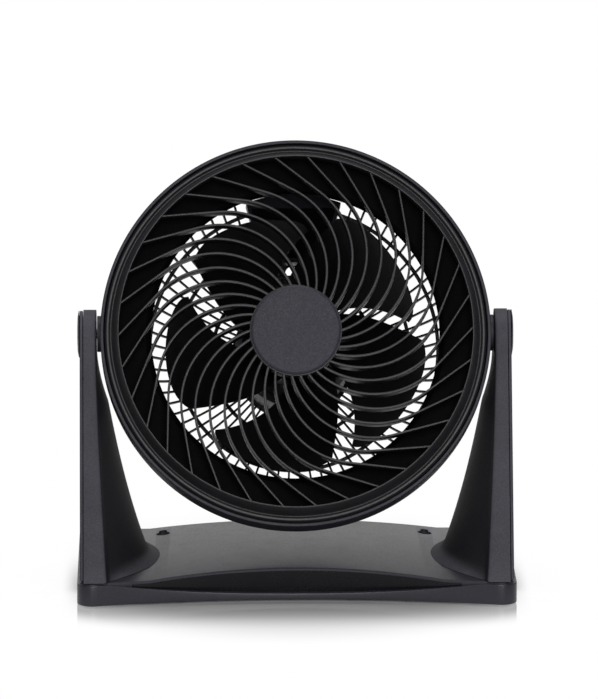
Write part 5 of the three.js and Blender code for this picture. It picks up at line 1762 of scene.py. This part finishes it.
    def recess(self) -> Shell:
        """The glossy strip in the recess between the skirt and the lip, darker than the base as painted shade under the
        lip.

        Returns:
            The strip as a shell.
        """
        sections = []
        for edge in self.plan()[: self.columns + 1]:
            if abs(edge[0].x) > self.recess_half:
                continue
            (low_in, low), (high_in, high) = self.wall_profile(edge[0].x)[8:10]
            corners = [
                (low_in + 0.6, low - 0.1), (low_in - 0.35, low - 0.1),
                (high_in - 0.35, high - 0.2), (high_in + 0.6, high - 0.2),
            ]
            sections.append([self.inward(edge, inset, z) for inset, z in corners])
        return lofted(sections)

    def stiffening(self) -> Shell:
        """The ribs under the deck and the bosses over the feet.

        Returns:
            The ribs and bosses as a shell.
        """
        shell = Shell()
        for x in self.rib_places:
            front, rear, top = self.front_edge(x) + 6.0, self.rear - 6.0, self.deck_height(x) - 1.2
            shell.add(block((x - 1, front, 9), (x + 1, rear, top)))
        for side in Side:
            for y in FOOT_ENDS.values():
                boss = rod(self.foot_boss, 3.5, self.deck - 1.0, 48)
                shell.add(boss.moved(shift(side.value * FOOT_X, y, 0)))
        return shell

    def keyhole(self, side: Side) -> Shell:
        """The wall-hanging keyhole as a cutter: a round and a slot towards the rear.

        Args:
            side: which side of the deck.

        Returns:
            The cutter.
        """
        x, y = side.value * self.keyhole_x, self.keyhole_y
        outline = bow((x, y), self.keyhole_round, 125, 415, 32)
        outline += bow((x, y + self.keyhole_run), self.keyhole_slot, 0, 180, 16)
        return prism(outline, 5, 30)

    def build(self, bench: Bench) -> None:
        """Makes the base with its keyholes, the recess strip and the ribs.

        Args:
            bench: takes the finished pieces.
        """
        piece = to_object("base_moulding", self.moulding(), FLOOR)
        cut_with(piece, [self.keyhole(side) for side in Side], FLOOR, 30)
        bench.put(piece, Body.STAND, Look.BASE, "charcoal_plastic", "base_shell")
        # The recess strip is glossier than the base, and its darker grey is painted shade under the deck's lip.
        bench.put(to_object("recess_strip", self.recess(), FLOOR), Body.STAND, Look.GLOSS, "charcoal_plastic")
        bench.put(to_object("base_ribs", self.stiffening(), FLOOR), Body.STAND, Look.BASE, "charcoal_plastic")


@dataclass
class Feet:
    """Four rubber feet."""

    radius: float = 9.0
    height: float = 3.2

    def build(self, bench: Bench) -> None:
        """Makes the feet with a shallow ring in each sole.

        Args:
            bench: takes the finished pieces.
        """
        r, top = self.radius, self.height
        corners = [(0.0, 0.35), (4.6, 0.35), (5.0, 0.0), (r - 0.8, 0.0), (r, 0.8), (r, top), (0.0, top)]
        shell = turned(corners, 0.2, 64, 2)
        for end, y in FOOT_ENDS.items():
            for side in Side:
                name = f"{end}_{side.name.lower()}"
                foot = to_object(f"rubber_{name}", shell.moved(shift(side.value * FOOT_X, y, 0)), FLOOR, 35)
                bench.put(foot, Body.STAND, Look.RUBBER, "black_rubber", f"foot_{name}")


# ---- studio ----


def camera_only(graph: Graph) -> Signal:
    """1 for what the camera sees directly or through something clear."""
    path = graph.node("ShaderNodeLightPath")
    return Signal(graph, path.outputs["Is Camera Ray"]) + Signal(graph, path.outputs["Is Transmission Ray"])


def seen(graph: Graph) -> Signal:
    """1 for what the camera sees directly or in a reflection."""
    return camera_only(graph) + graph.out("ShaderNodeLightPath", "Is Glossy Ray")


@dataclass
class Studio:
    """The pale floor, the soft lights and the camera."""

    distance: float = 4.5
    elevation: float = 12.2
    azimuth: float = -1.0
    lens: float = 365.2
    aim_right: float = 0.0024
    aim_down: float = 0.0103
    floor_half: float = 30.0
    # Where the floor's masks start and end, in metres: across its depth, to a side, or away from the middle.
    base_under: Point2 = (-0.06, -0.04)
    base_close: Point2 = (-0.13, -0.105)
    shadow_end: Point2 = (0.115, 0.19)
    behind: Point2 = (-0.05, 0.06)
    beside: Point2 = (0.138, 0.15)
    mirror_front: Point2 = (-0.15, -0.095)
    mirror_end: Point2 = (0.165, 0.2)
    mirror: float = 0.55
    # How much the painted contact shadow darkens the paper just in front of the base.
    contact: float = 0.12
    bounce: float = 0.08
    paper: float = 1.0
    horizon: float = 0.03
    zenith: float = 0.35

    def build(self) -> None:
        """Sets up the whole scene round the object."""
        self.floor()
        self.world()
        self.lamp("overhead", (0.0, 0.4, 2.2), (0, 0, 0.1), 0.9, 14.0)
        self.lamp("front", (0.15, -3.0, 1.4), (0, 0, 0.12), 1.5, 54.0)
        self.camera()
        bpy.context.scene.view_settings.view_transform = "Standard"

    def floor_surface(self, graph: Graph) -> Signal:
        """Draws white paper with a soft shadow and, in front of the base, a painted contact shadow and a faint mirror
        image.

        Args:
            graph: the floor material's graph.

        Returns:
            The floor's shader.
        """
        place = graph.out("ShaderNodeNewGeometry", "Position")
        away = graph.out("ShaderNodeVectorMath", "Value", {"operation": "LENGTH"}, {0: place})
        depth, aside = graph.axis(place, "Y"), graph.axis(place, "X")
        under = 1 - depth.above(*self.base_under)
        # Painted contact shadow: the paper's colour is darkened in a band just in front of the base.
        close = depth.above(*self.base_close) * under
        bounce, plain, dim = ((v, v, v, 1.0) for v in (self.bounce, self.paper, self.paper * (1 - self.contact)))
        shaded = graph.mix(close, plain, dim)
        tone = graph.mix(seen(graph), bounce, shaded)
        paper = graph.out("ShaderNodeBsdfDiffuse", 0, {}, {"Color": tone})
        mirror = graph.out("ShaderNodeBsdfAnisotropic", 0, {}, {"Color": WHITE, "Roughness": 0.1})
        glow = graph.out("ShaderNodeEmission", 0, {}, {"Color": WHITE, "Strength": 1.0})
        far, behind = away.above(*self.shadow_end), depth.above(*self.behind) * 0.9
        beside = (aside * aside).above(self.beside[0] ** 2, self.beside[1] ** 2) * 0.92
        dark = (1 - far) * (1 - behind) * (1 - beside)
        lit = graph.mix_shader(seen(graph) * (1 - dark), paper, glow)
        ahead = depth.above(*self.mirror_front) * under * (1 - away.above(*self.mirror_end))
        return graph.mix_shader(ahead * camera_only(graph) * self.mirror, lit, mirror)

    def floor(self) -> None:
        """Lays the floor."""
        mesh = bpy.data.meshes.new("studio_floor")
        far = self.floor_half
        mesh.from_pydata([(-far, -far, 0), (far, -far, 0), (far, far, 0), (-far, far, 0)], [], [(0, 1, 2, 3)])
        floor = bpy.data.objects.new("studio_floor", mesh)
        bpy.context.scene.collection.objects.link(floor)
        material, graph = new_material("studio_floor")
        graph.node("ShaderNodeOutputMaterial", {}, {"Surface": self.floor_surface(graph)})
        mesh.materials.append(material)

    def world(self) -> None:
        """Light that grows from the horizon to the zenith, with a white backdrop behind the fan."""
        world = bpy.data.worlds.new("studio")
        bpy.context.scene.world = world
        world.use_nodes = True
        graph = Graph(world.node_tree)
        way = graph.out("ShaderNodeTexCoord", "Generated")
        up, backdrop = graph.axis(way, "Z"), graph.axis(way, "Y").above(0.8, 0.92)
        sky = self.horizon + (self.zenith - self.horizon) * up.above(0.0, 1.0) ** 2
        level = graph.mix(sky + backdrop * (1 - sky), BLACK, WHITE)
        shade = graph.out("ShaderNodeBackground", 0, {}, {"Color": level, "Strength": 1.0})
        white = graph.out("ShaderNodeBackground", 0, {}, {"Color": WHITE, "Strength": 1.0})
        surface = graph.mix_shader(camera_only(graph), shade, white)
        graph.node("ShaderNodeOutputWorld", {}, {"Surface": surface})

    @staticmethod
    def lamp(name: str, spot: Triple, target: Triple, size: float, power: float) -> None:
        """Adds a square soft lamp that faces a target.

        Args:
            name: its name.
            spot: where it hangs.
            target: what it faces.
            size: its side in metres.
            power: its power in watts.
        """
        data = bpy.data.lights.new(name, "AREA")
        data.shape = "SQUARE"
        data.size = size
        data.energy = power
        lamp = bpy.data.objects.new(name, data)
        lamp.location = spot
        lamp.rotation_euler = (Vector(target) - Vector(spot)).to_track_quat("-Z", "Y").to_euler()
        bpy.context.scene.collection.objects.link(lamp)

    def camera(self) -> None:
        """Sets up a long lens, a little above the level, as in the photograph."""
        a, e = math.radians(self.azimuth), math.radians(self.elevation)
        away = Vector((math.sin(a) * math.cos(e), -math.cos(a) * math.cos(e), math.sin(e)))
        look = (-away).to_track_quat("-Z", "Y").to_matrix()
        aim = PIVOT + look.col[0] * self.aim_right - look.col[1] * self.aim_down
        data = bpy.data.cameras.new("studio_camera")
        data.lens = self.lens
        data.sensor_width = 36.0
        data.clip_end = 100.0
        camera = bpy.data.objects.new("studio_camera", data)
        camera.matrix_world = Matrix.Translation(aim + away * self.distance) @ look.to_4x4()
        bpy.context.scene.collection.objects.link(camera)
        bpy.context.scene.camera = camera


def main() -> None:
    """Builds the fan's looks and the studio."""
    logging.basicConfig(level=logging.INFO, format="%(message)s")
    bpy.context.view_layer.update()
    bench, form, cover = Bench(), ArmForm(), RearCover()
    arms = [Arm(form, side) for side in Side]
    for part in (Base(), Feet(), *arms, Housing(), FrontGrille(), Impeller(), cover, Controls(cover), Motor()):
        part.build(bench)
    bench.dress_cad_nodes()
    Studio().build()
    log.info("%d dressed pieces", bench.count)


if __name__ == "__main__":
    main()
